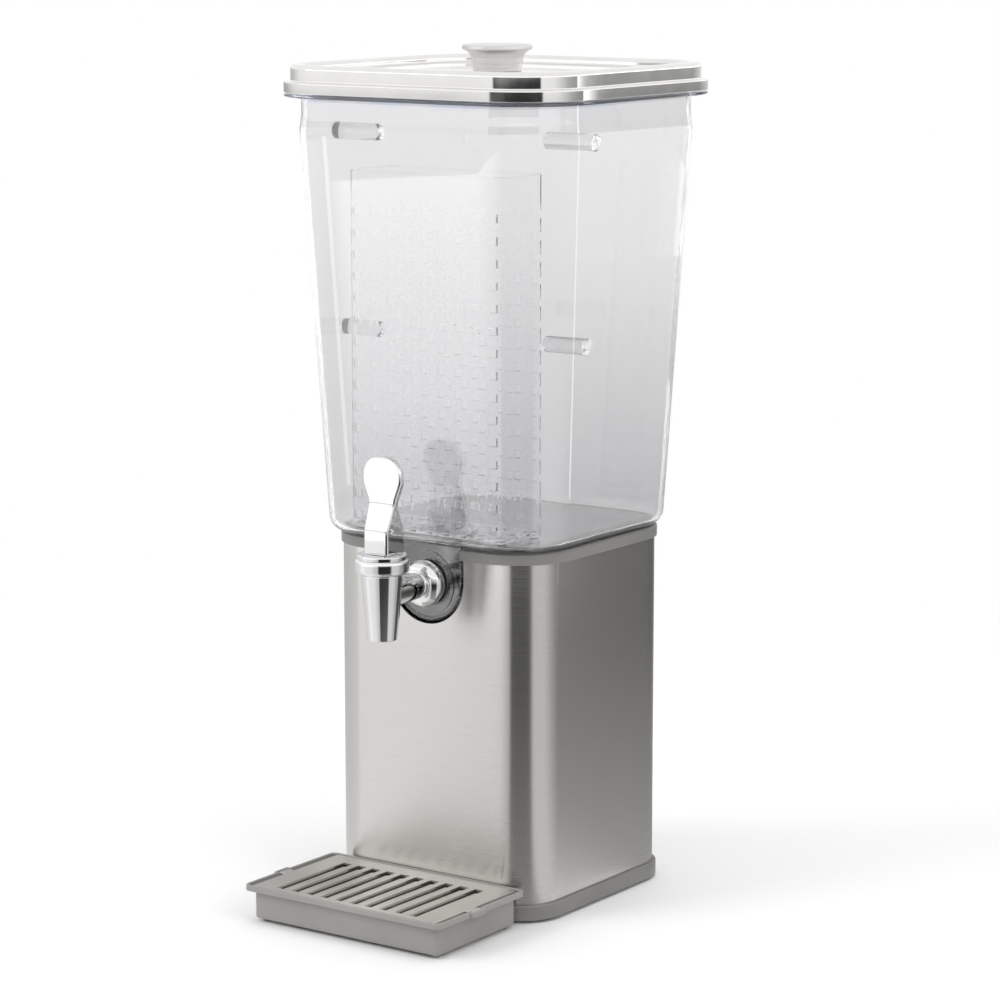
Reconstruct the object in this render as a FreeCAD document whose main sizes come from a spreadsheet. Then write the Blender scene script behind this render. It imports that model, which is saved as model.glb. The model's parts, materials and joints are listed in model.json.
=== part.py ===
import FreeCAD, Part
import math
import os
import re
import Sketcher

# Infusion beverage dispenser, millimetres, +Z up, front towards -Y.
# The origin is on the table, in the middle of the ground that the whole part covers.
# Sketches are drawn about the middle of the steel base, and each part is placed from there.

doc = FreeCAD.newDocument("dispenser")
sheet = doc.addObject("Spreadsheet::Sheet", "sizes")

sizes = {
    # steel base and its plastic parts
    "foot_gap": 2.0,
    "foot_radius": 8.0,
    "foot_plug_radius": 4.0,
    "foot_plug_height": 5.0,
    "foot_inset": 24.0,
    "foot_bevel": 1.0,
    "base_width": 168.0,
    "base_depth": 165.0,
    "base_corner": 30.0,
    "plinth_height": 10.0,
    "plinth_proud": 2.5,
    "plinth_bevel": 1.0,
    "plinth_key_height": 4.0,
    "shell_height": 226.3,
    "sheet_steel": 1.2,
    "turned_flange": 14.0,
    "collar_height": 7.5,
    "collar_proud": 4.5,
    "collar_corner": 42.0,
    "collar_wall": 3.0,
    "collar_skirt": 10.0,
    "deck_drop": 4.5,
    "deck_thick": 2.5,
    "notch_radius": 29.5,
    "screw_radius": 2.0,
    "screw_head_radius": 3.8,
    "screw_head_height": 2.4,
    "screw_inset": 8.0,
    "screw_depth": 5.0,
    "screw_tail": 2.0,
    "panel_gap": 0.3,
    "free_gap": 0.5,
    # clear container
    "bowl_shift": 3.0,
    "bowl_width_low": 184.4,
    "bowl_depth_low": 181.7,
    "bowl_corner_low": 42.0,
    "bowl_width_high": 211.8,
    "bowl_depth_high": 210.8,
    "bowl_corner_high": 46.0,
    "bowl_edge": 10.0,
    "bowl_wall": 3.5,
    "taper_height": 266.4,
    "shoulder_height": 10.0,
    "shoulder_step": 1.25,
    "neck_height": 11.3,
    "rim_width": 227.0,
    "rim_depth": 225.4,
    "rim_corner": 47.0,
    "rim_height": 8.5,
    "rim_lip": 2.3,
    "rim_round": 0.6,
    "sump_radius": 28.0,
    "sump_wall": 3.5,
    "sump_drop": 23.8,
    "sump_front": 82.0,
    "sump_back": 52.5,
    "sump_boss_radius": 21.5,
    "sump_boss_height": 1.0,
    "rib_height": 1.8,
    "rib_wall": 3.0,
    "peg_radius": 5.5,
    "peg_low": 132.2,
    "peg_high": 262.5,
    "peg_back": 42.0,
    "peg_tip_gap": 1.2,
    "peg_round": 4.4,
    # perforated infuser box
    "infuser_width": 126.0,
    "infuser_depth": 48.0,
    "infuser_front": 84.5,
    "infuser_foot_height": 2.5,
    "infuser_height": 235.2,
    "infuser_wall": 3.0,
    "infuser_corner": 9.0,
    "infuser_hole": 5.5,
    "infuser_pitch_x": 13.5,
    "infuser_pitch_z": 14.33,
    "infuser_first_row": 8.5,
    "infuser_columns": 9,
    "infuser_rows": 15,
    "infuser_floor_rows": 3,
    "infuser_foot_radius": 3.0,
    "infuser_foot_inset": 6.0,
    # lid and knob
    "lid_rim_sheet": 1.2,
    "lid_rim_cap": 1.6,
    "lid_rim_round": 1.0,
    "lid_band_inset": 4.5,
    "lid_band_height": 10.9,
    "lid_border": 9.0,
    "lid_recess": 5.5,
    "lid_sheet": 2.0,
    "lid_round": 3.0,
    "lid_skirt_gap": 3.0,
    "lid_skirt_depth": 11.0,
    "lid_skirt_sheet": 1.5,
    "lid_lip": 1.5,
    "seal_height": 7.5,
    "seal_gap": 0.3,
    "knob_radius": 23.0,
    "knob_base_radius": 15.8,
    "knob_neck_radius": 17.0,
    "knob_neck_height": 10.0,
    "knob_flare_radius": 7.0,
    "knob_round": 1.0,
    "knob_height": 17.3,
    "knob_lip": 3.4,
    "knob_screw_radius": 2.5,
    "knob_screw_depth": 12.0,
    "knob_screw_head_radius": 4.5,
    "knob_screw_head_height": 3.0,
    "knob_screw_bevel": 1.0,
    "knob_washer_radius": 8.0,
    "knob_washer_thick": 1.0,
    # tap
    "tap_drop": 2.1,
    "tap_front": 131.0,
    "tap_flange_radius": 15.6,
    "tap_flange_edge": 3.0,
    "tap_flange_thick": 9.0,
    "tap_flange_dome": 8.0,
    "tap_neck_radius": 9.0,
    "tap_shank_radius": 8.0,
    "tap_shank_length": 19.0,
    "tap_bore_radius": 4.5,
    "tap_seal_radius": 14.5,
    "tap_seal_thick": 2.0,
    "tap_nut_flats": 24.0,
    "tap_nut_thick": 6.0,
    "spout_reach": 29.5,
    "spout_bottom_radius": 9.7,
    "spout_top_radius": 13.85,
    "spout_rise": 13.7,
    "spout_bore_radius": 7.0,
    "barrel_bore_radius": 10.0,
    "seat_drop": 11.4,
    "barrel_neck_radius": 13.0,
    "barrel_neck_height": 8.0,
    "bonnet_radius": 17.75,
    "bonnet_gap": 0.6,
    "bonnet_height": 9.7,
    "bonnet_top_thick": 1.8,
    "bonnet_round": 2.8,
    "cap_radius": 16.2,
    "cap_thick": 2.7,
    "cap_round": 0.9,
    "stem_radius": 3.0,
    "stem_rise": 7.3,
    "stem_bevel": 1.0,
    "cup_radius": 9.0,
    "cup_height": 17.0,
    "cup_grip": 8.0,
    "cup_seat_gap": 0.1,
    "cup_lip": 2.0,
    "cup_bell_height": 9.0,
    "cup_bell_radius": 12.0,
    "cup_neck_radius": 6.5,
    "pin_radius": 1.5,
    "pin_length": 13.0,
    "pin_rise": 4.0,
    # tap lever
    "lever_heel": 7.5,
    "lever_lift": 0.2,
    "lever_base_depth": 19.8,
    "lever_base_width": 19.0,
    "lever_base_height": 15.0,
    "lever_slope_height": 33.0,
    "lever_back_slope_height": 30.0,
    "lever_lean": 6.8,
    "lever_thick": 5.8,
    "lever_height": 62.8,
    "lever_neck_width": 20.6,
    "lever_paddle_width": 30.6,
    "lever_paddle_height": 46.0,
    "lever_top_round": 13.0,
    "lever_bend": 9.0,
    "lever_pocket_width": 7.6,
    "lever_pocket_start": 3.2,
    "lever_pocket_length": 12.0,
    "lever_pocket_height": 10.0,
    "lever_slot_start": 5.5,
    "lever_slot_length": 7.4,
    "lever_slot_height": 3.7,
    # drip tray and its grid
    "tray_rim_width": 158.8,
    "tray_front": 178.8,
    "tray_wall_gap": 0.3,
    "tray_rim_corner": 5.0,
    "tray_rim_top": 25.3,
    "tray_rim_wall": 2.0,
    "tray_rim_back_wall": 2.5,
    "tray_lip_height": 4.0,
    "tray_ledge_thick": 2.0,
    "tray_overhang": 4.8,
    "tray_wall": 2.2,
    "tray_wall_corner": 4.0,
    "tray_bottom": 2.3,
    "tray_floor": 2.0,
    "tray_back_step": 4.5,
    "tray_ear_length": 15.0,
    "tray_ear_middle": 137.2,
    "tray_ear_proud": 2.5,
    "tray_nub_radius": 2.0,
    "tray_nub_inset": 6.0,
    "tray_rim_round": 0.9,
    "tray_foot_round": 1.5,
    "grid_side_gap": 4.0,
    "grid_end_gap": 0.4,
    "grid_sheet": 1.5,
    "grid_slots": 10,
    "grid_pitch": 12.0,
    "grid_slot_width": 7.0,
    "grid_slot_length": 72.0,
    "grid_slot_back": 99.0,
    "grid_blade_drop": 3.6,
    "grid_blade_run": 4.3,
    "grid_blade_sheet": 1.6,
    "grid_blade_overlap": 0.8,
    "grid_blade_length": 64.0,
    "grid_corner": 2.0,
    # fits
    "slip": 0.06,
    "overshoot": 1.0,
}

for row, (alias, number) in enumerate(sizes.items(), start=1):
    sheet.set("A%d" % row, alias)
    sheet.set("B%d" % row, repr(number))
    sheet.setAlias("B%d" % row, alias)
doc.recompute()

word = re.compile(r"[a-z_]{3,}")
functions = {"sin", "cos", "tan", "sqrt", "abs", "min", "max", "atan"}


def bound(text):
    """Point each size name in an expression at the sheet."""
    def swap(match):
        name = match.group(0)
        return name if name in functions else "sizes." + name
    return word.sub(swap, text)


def number_of(text):
    return float(sheet.evalExpression(bound(text)))


# Places that several parts share.
base_back = "((tray_front + bowl_shift - rim_depth / 2) / 2)"
plinth_top = "(foot_gap + plinth_height)"
shell_top = "(foot_gap + plinth_height + shell_height)"
bowl_bottom = "(foot_gap + plinth_height + shell_height + collar_height)"
bowl_shoulder = "(%s + taper_height)" % bowl_bottom
bowl_neck = "(%s + shoulder_height)" % bowl_shoulder
rim_bottom = "(%s + neck_height)" % bowl_neck
rim_top = "(%s + rim_height)" % rim_bottom
lid_top = "(%s + lid_rim_cap + lid_band_height)" % rim_top
panel_top = "(%s - lid_recess)" % lid_top
panel_bottom = "(%s - lid_sheet)" % panel_top
sump_axis = "(%s - sump_drop)" % bowl_bottom
tap_axis = "(%s - tap_drop)" % sump_axis
spout_bottom = "(%s - spout_reach)" % tap_axis
spout_top = "(%s + spout_rise)" % tap_axis
barrel_seat = "(%s - seat_drop)" % tap_axis
bonnet_bottom = "(%s + bonnet_gap)" % spout_top
bonnet_top = "(%s + bonnet_height)" % bonnet_bottom
cap_top = "(%s + cap_thick)" % bonnet_top
lever_bottom = "(%s + lever_lift)" % cap_top
tray_back = "(base_depth / 2 + tray_wall_gap)"
ledge_top = "(tray_rim_top - tray_lip_height + tray_ledge_thick)"
neck_width = "(bowl_width_high - 2 * shoulder_step)"
neck_depth = "(bowl_depth_high - 2 * shoulder_step)"
mouth_width = "(%s - 2 * bowl_wall)" % neck_width
mouth_depth = "(%s - 2 * bowl_wall)" % neck_depth
mouth_corner = "(bowl_corner_high - shoulder_step - bowl_wall)"
shank_bore_radius = "(tap_shank_radius + panel_gap)"
boss_front = "(sump_front + sump_boss_height)"
flange_back = "(%s + tap_seal_thick)" % boss_front
rim_cover = "(lid_rim_sheet + free_gap)"
flange_width = "(rim_width - 2 * %s)" % rim_cover
flange_depth = "(rim_depth - 2 * %s)" % rim_cover
flange_corner = "(rim_corner - %s)" % rim_cover


# Sketch and feature helpers.
def place(part, x, y, z="0"):
    """Place a part from the point on the table under the middle of the base."""
    for axis, text in (("x", x), ("y", "%s + %s" % (y, base_back)), ("z", z)):
        part.setExpression("Placement.Base." + axis, bound(text))


def new_body(label):
    body = doc.addObject("PartDesign::Body", label)
    body.Label = label
    place(body, "0", "0")
    return body


def new_sketch(body, plane, lift="0", across="0", up="0"):
    """Sketch on one of the body's own planes, lifted along the plane's normal."""
    sketch = body.newObject("Sketcher::SketchObject", body.Label + "_sketch")
    support = [f for f in body.Origin.OriginFeatures if f.Role == plane][0]
    sketch.AttachmentSupport = (support, [""])
    sketch.MapMode = "FlatFace"
    for axis, text in (("x", across), ("y", up), ("z", lift)):
        sketch.setExpression("AttachmentOffset.Base." + axis, bound(text))
    return sketch


def pin_point(sketch, geometry, point, x, y):
    """Hold a point at sheet-driven distances from the sketch's origin."""
    for kind, text in (("DistanceX", x), ("DistanceY", y)):
        index = sketch.addConstraint(
            Sketcher.Constraint(kind, -1, 1, geometry, point, number_of(text)))
        sketch.setExpression("Constraints[%d]" % index, bound(text))


def size_constraint(sketch, kind, geometry, text):
    index = sketch.addConstraint(Sketcher.Constraint(kind, geometry, number_of(text)))
    sketch.setExpression("Constraints[%d]" % index, bound(text))


def draw_circle(sketch, x, y, radius):
    centre = FreeCAD.Vector(number_of(x), number_of(y), 0)
    circle = Part.Circle(centre, FreeCAD.Vector(0, 0, 1), number_of(radius))
    index = sketch.addGeometry(circle)
    pin_point(sketch, index, 3, x, y)
    size_constraint(sketch, "Radius", index, radius)


def draw_outline(sketch, points, rounds=None):
    """Closed outline through points given as expressions.

    rounds gives the radius of each run that is an arc, by the number of its
    first point: a radius above zero bulges to the right of the run.
    """
    rounds = rounds or {}
    corners = [FreeCAD.Vector(number_of(x), number_of(y), 0) for x, y in points]
    first = sketch.GeometryCount
    count = len(corners)
    ends = []
    for i in range(count):
        start = corners[i]
        end = corners[(i + 1) % count]
        if i not in rounds:
            sketch.addGeometry(Part.LineSegment(start, end))
            ends.append((1, 2))
            continue
        side, text = rounds[i]
        radius = number_of(text)
        half = (end - start).Length / 2
        rise = radius - math.sqrt(radius * radius - half * half)
        along = (end - start).normalize()
        middle = (start + end) / 2 + FreeCAD.Vector(along.y, -along.x, 0) * rise * side
        sketch.addGeometry(Part.Arc(start, middle, end))
        ends.append((1, 2) if side > 0 else (2, 1))
    for i in range(count):
        j = (i + 1) % count
        sketch.addConstraint(
            Sketcher.Constraint("Coincident", first + i, ends[i][1], first + j, ends[j][0]))
    for i, (x, y) in enumerate(points):
        pin_point(sketch, first + i, ends[i][0], x, y)
    for i, (side, text) in rounds.items():
        size_constraint(sketch, "Radius", first + i, text)


def draw_square(sketch, x, y, width):
    """Square centred on a point."""
    low_x, high_x = "(%s) - %s / 2" % (x, width), "(%s) + %s / 2" % (x, width)
    low_y, high_y = "(%s) - %s / 2" % (y, width), "(%s) + %s / 2" % (y, width)
    draw_outline(sketch, [(low_x, low_y), (high_x, low_y), (high_x, high_y), (low_x, high_y)])


def draw_rounded(sketch, left, right, low, high, radius):
    """Rectangle with four equal round corners."""
    x0, x1, y0, y1, r = (number_of(t) for t in (left, right, low, high, radius))
    up = FreeCAD.Vector(0, 0, 1)
    first = sketch.GeometryCount
    runs = (((x0 + r, y0), (x1 - r, y0)), ((x1, y0 + r), (x1, y1 - r)),
            ((x1 - r, y1), (x0 + r, y1)), ((x0, y1 - r), (x0, y0 + r)))
    centres = ((x1 - r, y0 + r), (x1 - r, y1 - r), (x0 + r, y1 - r), (x0 + r, y0 + r))
    for side in range(4):
        start, end = runs[side]
        sketch.addGeometry(Part.LineSegment(FreeCAD.Vector(*start, 0), FreeCAD.Vector(*end, 0)))
        circle = Part.Circle(FreeCAD.Vector(*centres[side], 0), up, r)
        turn = math.pi / 2 * (side - 1)
        sketch.addGeometry(Part.ArcOfCircle(circle, turn, turn + math.pi / 2))
    for side in range(4):
        line = first + 2 * side
        arc = line + 1
        following = first + (2 * side + 2) % 8
        sketch.addConstraint(Sketcher.Constraint("Tangent", line, 2, arc, 1))
        sketch.addConstraint(Sketcher.Constraint("Tangent", arc, 2, following, 1))
        kind = "Horizontal" if side % 2 == 0 else "Vertical"
        sketch.addConstraint(Sketcher.Constraint(kind, line))
        if side:
            sketch.addConstraint(Sketcher.Constraint("Equal", first + 1, arc))
    size_constraint(sketch, "Radius", first + 1, radius)
    for line, kind, text in ((0, "DistanceY", low), (2, "DistanceX", right),
                             (4, "DistanceY", high), (6, "DistanceX", left)):
        index = sketch.addConstraint(
            Sketcher.Constraint(kind, -1, 1, first + line, 1, number_of(text)))
        sketch.setExpression("Constraints[%d]" % index, bound(text))


def draw_centred(sketch, width, depth, radius, middle="0"):
    """Rounded rectangle centred across, with its middle at a given depth."""
    draw_rounded(sketch, "-(%s) / 2" % width, "(%s) / 2" % width,
                 "(%s) - (%s) / 2" % (middle, depth),
                 "(%s) + (%s) / 2" % (middle, depth), radius)


def volume_of(body):
    tip = body.Tip
    return tip.Shape.Volume if tip and not tip.Shape.isNull() else 0.0


def add_feature(body, kind, sketch, length, back=False, both=False):
    """Pad, pocket, revolve or groove a sketch, and check that it did its work."""
    before = volume_of(body)
    feature = body.newObject("PartDesign::" + kind, body.Label + "_" + kind.lower())
    feature.Profile = sketch
    if kind in ("Revolution", "Groove"):
        feature.ReferenceAxis = (sketch, [length])
        feature.Angle = 360
    else:
        feature.setExpression("Length", bound(length))
        feature.Reversed = back
        feature.Midplane = both
    body.Tip = feature
    doc.recompute()
    change = volume_of(body) - before
    if kind in ("Pad", "Revolution"):
        assert change > 0.01, feature.Name + " added nothing"
    else:
        assert change < -0.01, feature.Name + " removed nothing"
    return feature


def add_loft(body, kind, sections):
    """Straight-sided loft through sketches from the lowest to the highest."""
    feature = body.newObject("PartDesign::" + kind, body.Label + "_loft")
    feature.Profile = sections[0]
    feature.Sections = sections[1:]
    feature.Ruled = True
    body.Tip = feature
    doc.recompute()
    return feature


def repeat(body, feature, directions):
    """Repeat a feature along plane axes: (axis, whole length, count) each."""
    if len(directions) == 1:
        pattern = body.newObject("PartDesign::LinearPattern", body.Label + "_row")
        pattern.Originals = [feature]
        patterns = [pattern]
    else:
        grid = body.newObject("PartDesign::MultiTransform", body.Label + "_grid")
        grid.Originals = [feature]
        patterns = []
        for _ in directions:
            patterns.append(body.newObject("PartDesign::LinearPattern", body.Label + "_row"))
        grid.Transformations = patterns
    for pattern, (role, length, count) in zip(patterns, directions):
        line = [f for f in body.Origin.OriginFeatures if f.Role == role][0]
        pattern.Direction = (line, [""])
        pattern.setExpression("Length", bound(length))
        pattern.setExpression("Occurrences", bound(count))
    body.Tip = patterns[0] if len(directions) == 1 else grid
    doc.recompute()
    return body.Tip


def soften(body, radius, wanted, kind="Fillet"):
    """Round or bevel the edges of the body's tip that the test picks."""
    tip = body.Tip
    names = []
    for i, edge in enumerate(tip.Shape.Edges, start=1):
        if wanted(edge):
            names.append("Edge%d" % i)
    assert names, body.Label + " has no edge to soften"
    feature = body.newObject("PartDesign::" + kind, body.Label + "_" + kind.lower())
    feature.Base = (tip, names)
    feature.setExpression("Radius" if kind == "Fillet" else "Size", bound(radius))
    body.Tip = feature
    doc.recompute()
    return feature


def at_height(text, tolerance=0.01):
    """Test for edges that lie wholly at one height."""
    height = number_of(text)

    def wanted(edge):
        box = edge.BoundBox
        return abs(box.ZMin - height) < tolerance and abs(box.ZMax - height) < tolerance
    return wanted


def is_ring(radius, height):
    """Test for round edges of one radius at one height."""
    def wanted(edge):
        curve = edge.Curve
        return (isinstance(curve, Part.Circle)
                and abs(curve.Radius - number_of(radius)) < 0.01
                and abs(curve.Center.z - number_of(height)) < 0.01)
    return wanted


def corner_signs():
    return [(x, y) for y in (-1, 1) for x in (-1, 1)]


# Steel shell: an upright tube with an in-turned bottom flange and a U notch.
shell = new_body("base_shell")
sketch = new_sketch(shell, "XY_Plane", plinth_top)
draw_centred(sketch, "base_width", "base_depth", "base_corner")
add_feature(shell, "Pad", sketch, "shell_height")
sketch = new_sketch(shell, "XY_Plane", shell_top)
draw_centred(sketch, "base_width - 2 * sheet_steel", "base_depth - 2 * sheet_steel",
             "base_corner - sheet_steel")
add_feature(shell, "Pocket", sketch, "shell_height - sheet_steel")
sketch = new_sketch(shell, "XY_Plane", plinth_top + " + sheet_steel + overshoot")
draw_centred(sketch, "base_width - 2 * turned_flange", "base_depth - 2 * turned_flange",
             "base_corner - turned_flange")
add_feature(shell, "Pocket", sketch, "sheet_steel + 2 * overshoot")
sketch = new_sketch(shell, "XZ_Plane", "base_depth / 2 + overshoot")
draw_circle(sketch, "0", sump_axis, "notch_radius")
add_feature(shell, "Pocket", sketch, "turned_flange + overshoot")
sketch = new_sketch(shell, "XZ_Plane", "base_depth / 2 + overshoot")
draw_outline(sketch, [("-notch_radius", sump_axis), ("notch_radius", sump_axis),
                      ("notch_radius", shell_top + " + overshoot"),
                      ("-notch_radius", shell_top + " + overshoot")])
add_feature(shell, "Pocket", sketch, "turned_flange + overshoot")
sketch = new_sketch(shell, "XY_Plane", plinth_top + " + sheet_steel + overshoot")
screw_x = "(base_width / 2 - screw_inset)"
screw_y = "(base_depth / 2 - screw_inset)"
for side in (-1, 1):
    draw_circle(sketch, "%d * %s" % (side, screw_x), "0", "screw_radius + slip")
    draw_circle(sketch, "0", "%d * %s" % (side, screw_y), "screw_radius + slip")
add_feature(shell, "Pocket", sketch, "sheet_steel + 2 * overshoot")

# Plinth: plastic base plate with a raised key inside the shell's flange.
plinth = new_body("base_plinth")
sketch = new_sketch(plinth, "XY_Plane", "foot_gap")
draw_centred(sketch, "base_width + 2 * plinth_proud", "base_depth + 2 * plinth_proud",
             "base_corner + plinth_proud")
add_feature(plinth, "Pad", sketch, "plinth_height")
soften(plinth, "plinth_bevel", at_height(plinth_top), "Chamfer")
sketch = new_sketch(plinth, "XY_Plane", plinth_top)
draw_centred(sketch, "base_width - 2 * turned_flange - 2 * free_gap",
             "base_depth - 2 * turned_flange - 2 * free_gap",
             "base_corner - turned_flange - free_gap")
add_feature(plinth, "Pad", sketch, "plinth_key_height")
sketch = new_sketch(plinth, "XY_Plane", "foot_gap")
foot_x = "(base_width / 2 - foot_inset)"
foot_y = "(base_depth / 2 - foot_inset)"
for side_x, side_y in corner_signs():
    draw_circle(sketch, "%d * %s" % (side_x, foot_x), "%d * %s" % (side_y, foot_y),
                "foot_plug_radius + slip")
add_feature(plinth, "Pocket", sketch, "foot_plug_height + free_gap", back=True)
sketch = new_sketch(plinth, "XY_Plane", "foot_gap")
for side in (-1, 1):
    draw_circle(sketch, "%d * %s" % (side, screw_x), "0", "screw_radius + panel_gap")
    draw_circle(sketch, "0", "%d * %s" % (side, screw_y), "screw_radius + panel_gap")
add_feature(plinth, "Pocket", sketch, "plinth_height", back=True)
sketch = new_sketch(plinth, "XY_Plane", "foot_gap")
for side in (-1, 1):
    draw_circle(sketch, "%d * %s" % (side, screw_x), "0", "screw_head_radius + panel_gap")
    draw_circle(sketch, "0", "%d * %s" % (side, screw_y), "screw_head_radius + panel_gap")
add_feature(plinth, "Pocket", sketch, "screw_depth", back=True)

# Four rubber feet, each with a plug that goes up into the plinth.
for number, (side_x, side_y) in enumerate(corner_signs(), start=1):
    foot = new_body("base_foot_%d" % number)
    sketch = new_sketch(foot, "XZ_Plane")
    draw_outline(sketch, [("0", "0"), ("foot_radius - foot_bevel", "0"), ("foot_radius", "foot_gap"),
                          ("foot_plug_radius", "foot_gap"),
                          ("foot_plug_radius", "foot_gap + foot_plug_height"),
                          ("0", "foot_gap + foot_plug_height")])
    add_feature(foot, "Revolution", sketch, "V_Axis")
    place(foot, "%d * %s" % (side_x, foot_x), "%d * %s" % (side_y, foot_y))

# Screws that go up through the plinth into the shell's flange, one group.
screw_solids = []
for x, y in ((screw_x, "0"), ("-" + screw_x, "0"), ("0", screw_y), ("0", "-" + screw_y)):
    head = doc.addObject("Part::Cylinder", "screw_head")
    head.setExpression("Radius", bound("screw_head_radius"))
    head.setExpression("Height", bound("screw_head_height"))
    rod = doc.addObject("Part::Cylinder", "screw_rod")
    rod.setExpression("Radius", bound("screw_radius"))
    rod.setExpression("Height", bound("plinth_height - screw_depth + screw_head_height"
                                      " + sheet_steel + screw_tail"))
    for solid in (head, rod):
        place(solid, x, y, "foot_gap + screw_depth - screw_head_height")
        screw_solids.append(solid)
screws = doc.addObject("Part::MultiFuse", "base_screws")
screws.Shapes = screw_solids
screws.Label = "base_screws"

# Collar: plastic frame and deck that the container stands on.
collar = new_body("base_collar")
opening_width = "(base_width - 2 * sheet_steel - 2 * panel_gap - 2 * collar_wall)"
opening_depth = "(base_depth - 2 * sheet_steel - 2 * panel_gap - 2 * collar_wall)"
opening_corner = "(base_corner - sheet_steel - panel_gap - collar_wall)"
sketch = new_sketch(collar, "XY_Plane", shell_top)
draw_centred(sketch, "base_width + 2 * collar_proud", "base_depth + 2 * collar_proud",
             "collar_corner")
add_feature(collar, "Pad", sketch, "collar_height")
soften(collar, "plinth_bevel", at_height(bowl_bottom), "Chamfer")
sketch = new_sketch(collar, "XY_Plane", shell_top)
draw_centred(sketch, opening_width + " + 2 * collar_wall", opening_depth + " + 2 * collar_wall",
             opening_corner + " + collar_wall")
add_feature(collar, "Pad", sketch, "collar_skirt", back=True)
sketch = new_sketch(collar, "XY_Plane", bowl_bottom)
draw_centred(sketch, opening_width, opening_depth, opening_corner)
add_feature(collar, "Pocket", sketch, "deck_drop")
sketch = new_sketch(collar, "XY_Plane", shell_top + " - collar_skirt")
draw_centred(sketch, opening_width, opening_depth, opening_corner)
add_feature(collar, "Pocket", sketch,
            "collar_skirt + collar_height - deck_drop - deck_thick", back=True)
sketch = new_sketch(collar, "XY_Plane", bowl_bottom)
draw_outline(sketch, [("-notch_radius", "-base_depth"), ("notch_radius", "-base_depth"),
                      ("notch_radius", "-sump_back + 2 * free_gap"),
                      ("-notch_radius", "-sump_back + 2 * free_gap")])
add_feature(collar, "Pocket", sketch, "collar_skirt + collar_height")

# Container: tapered clear tank with a sump for the tap.
bowl = new_body("container")
bowl_middle = "-bowl_shift"
# Shares of the edge radius at which its round is stepped: inset, rise.
edge_steps = ((1.0, 0.0), (0.5, 0.134), (0.134, 0.5), (0.0, 1.0))


def bowl_section(body, wall, rise, inset):
    """Outline of the tapered tank at a rise over its underside."""
    share = "((%s) / taper_height)" % rise
    off = "(%s + %s)" % (wall, inset)
    section = new_sketch(body, "XY_Plane", bowl_bottom + " + " + rise)
    draw_centred(
        section,
        "(bowl_width_low + (bowl_width_high - bowl_width_low) * %s - 2 * %s)" % (share, off),
        "(bowl_depth_low + (bowl_depth_high - bowl_depth_low) * %s - 2 * %s)" % (share, off),
        "(bowl_corner_low + (bowl_corner_high - bowl_corner_low) * %s - %s)" % (share, off),
        bowl_middle)
    return section


outline = []
for inset, rise in edge_steps:
    outline.append(bowl_section(bowl, "0", "bowl_edge * %g" % rise, "bowl_edge * %g" % inset))
outline.append(bowl_section(bowl, "0", "taper_height", "0"))
neck = new_sketch(bowl, "XY_Plane", bowl_neck)
draw_centred(neck, neck_width, neck_depth, "bowl_corner_high - shoulder_step", bowl_middle)
outline.append(neck)
add_loft(bowl, "AdditiveLoft", outline)
sketch = new_sketch(bowl, "XY_Plane", bowl_neck)
draw_centred(sketch, neck_width, neck_depth, "bowl_corner_high - shoulder_step", bowl_middle)
add_feature(bowl, "Pad", sketch, "neck_height")
sketch = new_sketch(bowl, "XY_Plane", rim_bottom)
draw_centred(sketch, "rim_width", "rim_depth", "rim_corner", bowl_middle)
add_feature(bowl, "Pad", sketch, "rim_lip")
soften(bowl, "rim_round", at_height(rim_bottom + " + rim_lip"))
sketch = new_sketch(bowl, "XY_Plane", rim_bottom)
draw_centred(sketch, flange_width, flange_depth, flange_corner, bowl_middle)
add_feature(bowl, "Pad", sketch, "rim_height")
sketch = new_sketch(bowl, "XZ_Plane", "sump_front")
draw_circle(sketch, "0", sump_axis, "sump_radius")
add_feature(bowl, "Pad", sketch, "sump_front - sump_back", back=True)
sketch = new_sketch(bowl, "XZ_Plane", "sump_front")
draw_outline(sketch, [("-sump_radius", sump_axis), ("sump_radius", sump_axis),
                      ("sump_radius", bowl_bottom + " + bowl_wall / 2"),
                      ("-sump_radius", bowl_bottom + " + bowl_wall / 2")])
add_feature(bowl, "Pad", sketch, "sump_front - sump_back", back=True)
sketch = new_sketch(bowl, "XZ_Plane", boss_front)
draw_circle(sketch, "0", tap_axis, "sump_boss_radius")
add_feature(bowl, "Pad", sketch, "sump_boss_height", back=True)
sketch = new_sketch(bowl, "XY_Plane", bowl_bottom)
rib_width = "(%s - 2 * free_gap)" % opening_width
rib_depth = "(%s - 2 * free_gap)" % opening_depth
rib_corner = "(%s - free_gap)" % opening_corner
draw_centred(sketch, rib_width, rib_depth, rib_corner)
draw_centred(sketch, rib_width + " - 2 * rib_wall", rib_depth + " - 2 * rib_wall",
             rib_corner + " - rib_wall")
add_feature(bowl, "Pad", sketch, "rib_height", back=True)
outline = []
inner_edge = "(bowl_edge - bowl_wall)"
for inset, rise in edge_steps:
    outline.append(bowl_section(bowl, "bowl_wall", "bowl_wall + %s * %g" % (inner_edge, rise),
                                "%s * %g" % (inner_edge, inset)))
mouth = new_sketch(bowl, "XY_Plane", bowl_neck)
draw_centred(mouth, mouth_width, mouth_depth, mouth_corner, bowl_middle)
outline.append(mouth)
add_loft(bowl, "SubtractiveLoft", outline)
sketch = new_sketch(bowl, "XY_Plane", rim_top)
draw_centred(sketch, mouth_width, mouth_depth, mouth_corner, bowl_middle)
add_feature(bowl, "Pocket", sketch, "neck_height + rim_height")
sump_inner = "(sump_radius - sump_wall)"
sketch = new_sketch(bowl, "XZ_Plane", "sump_front - sump_wall")
draw_circle(sketch, "0", sump_axis, sump_inner)
add_feature(bowl, "Pocket", sketch, "sump_front - sump_back - 2 * sump_wall")
sketch = new_sketch(bowl, "XZ_Plane", "sump_front - sump_wall")
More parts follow.
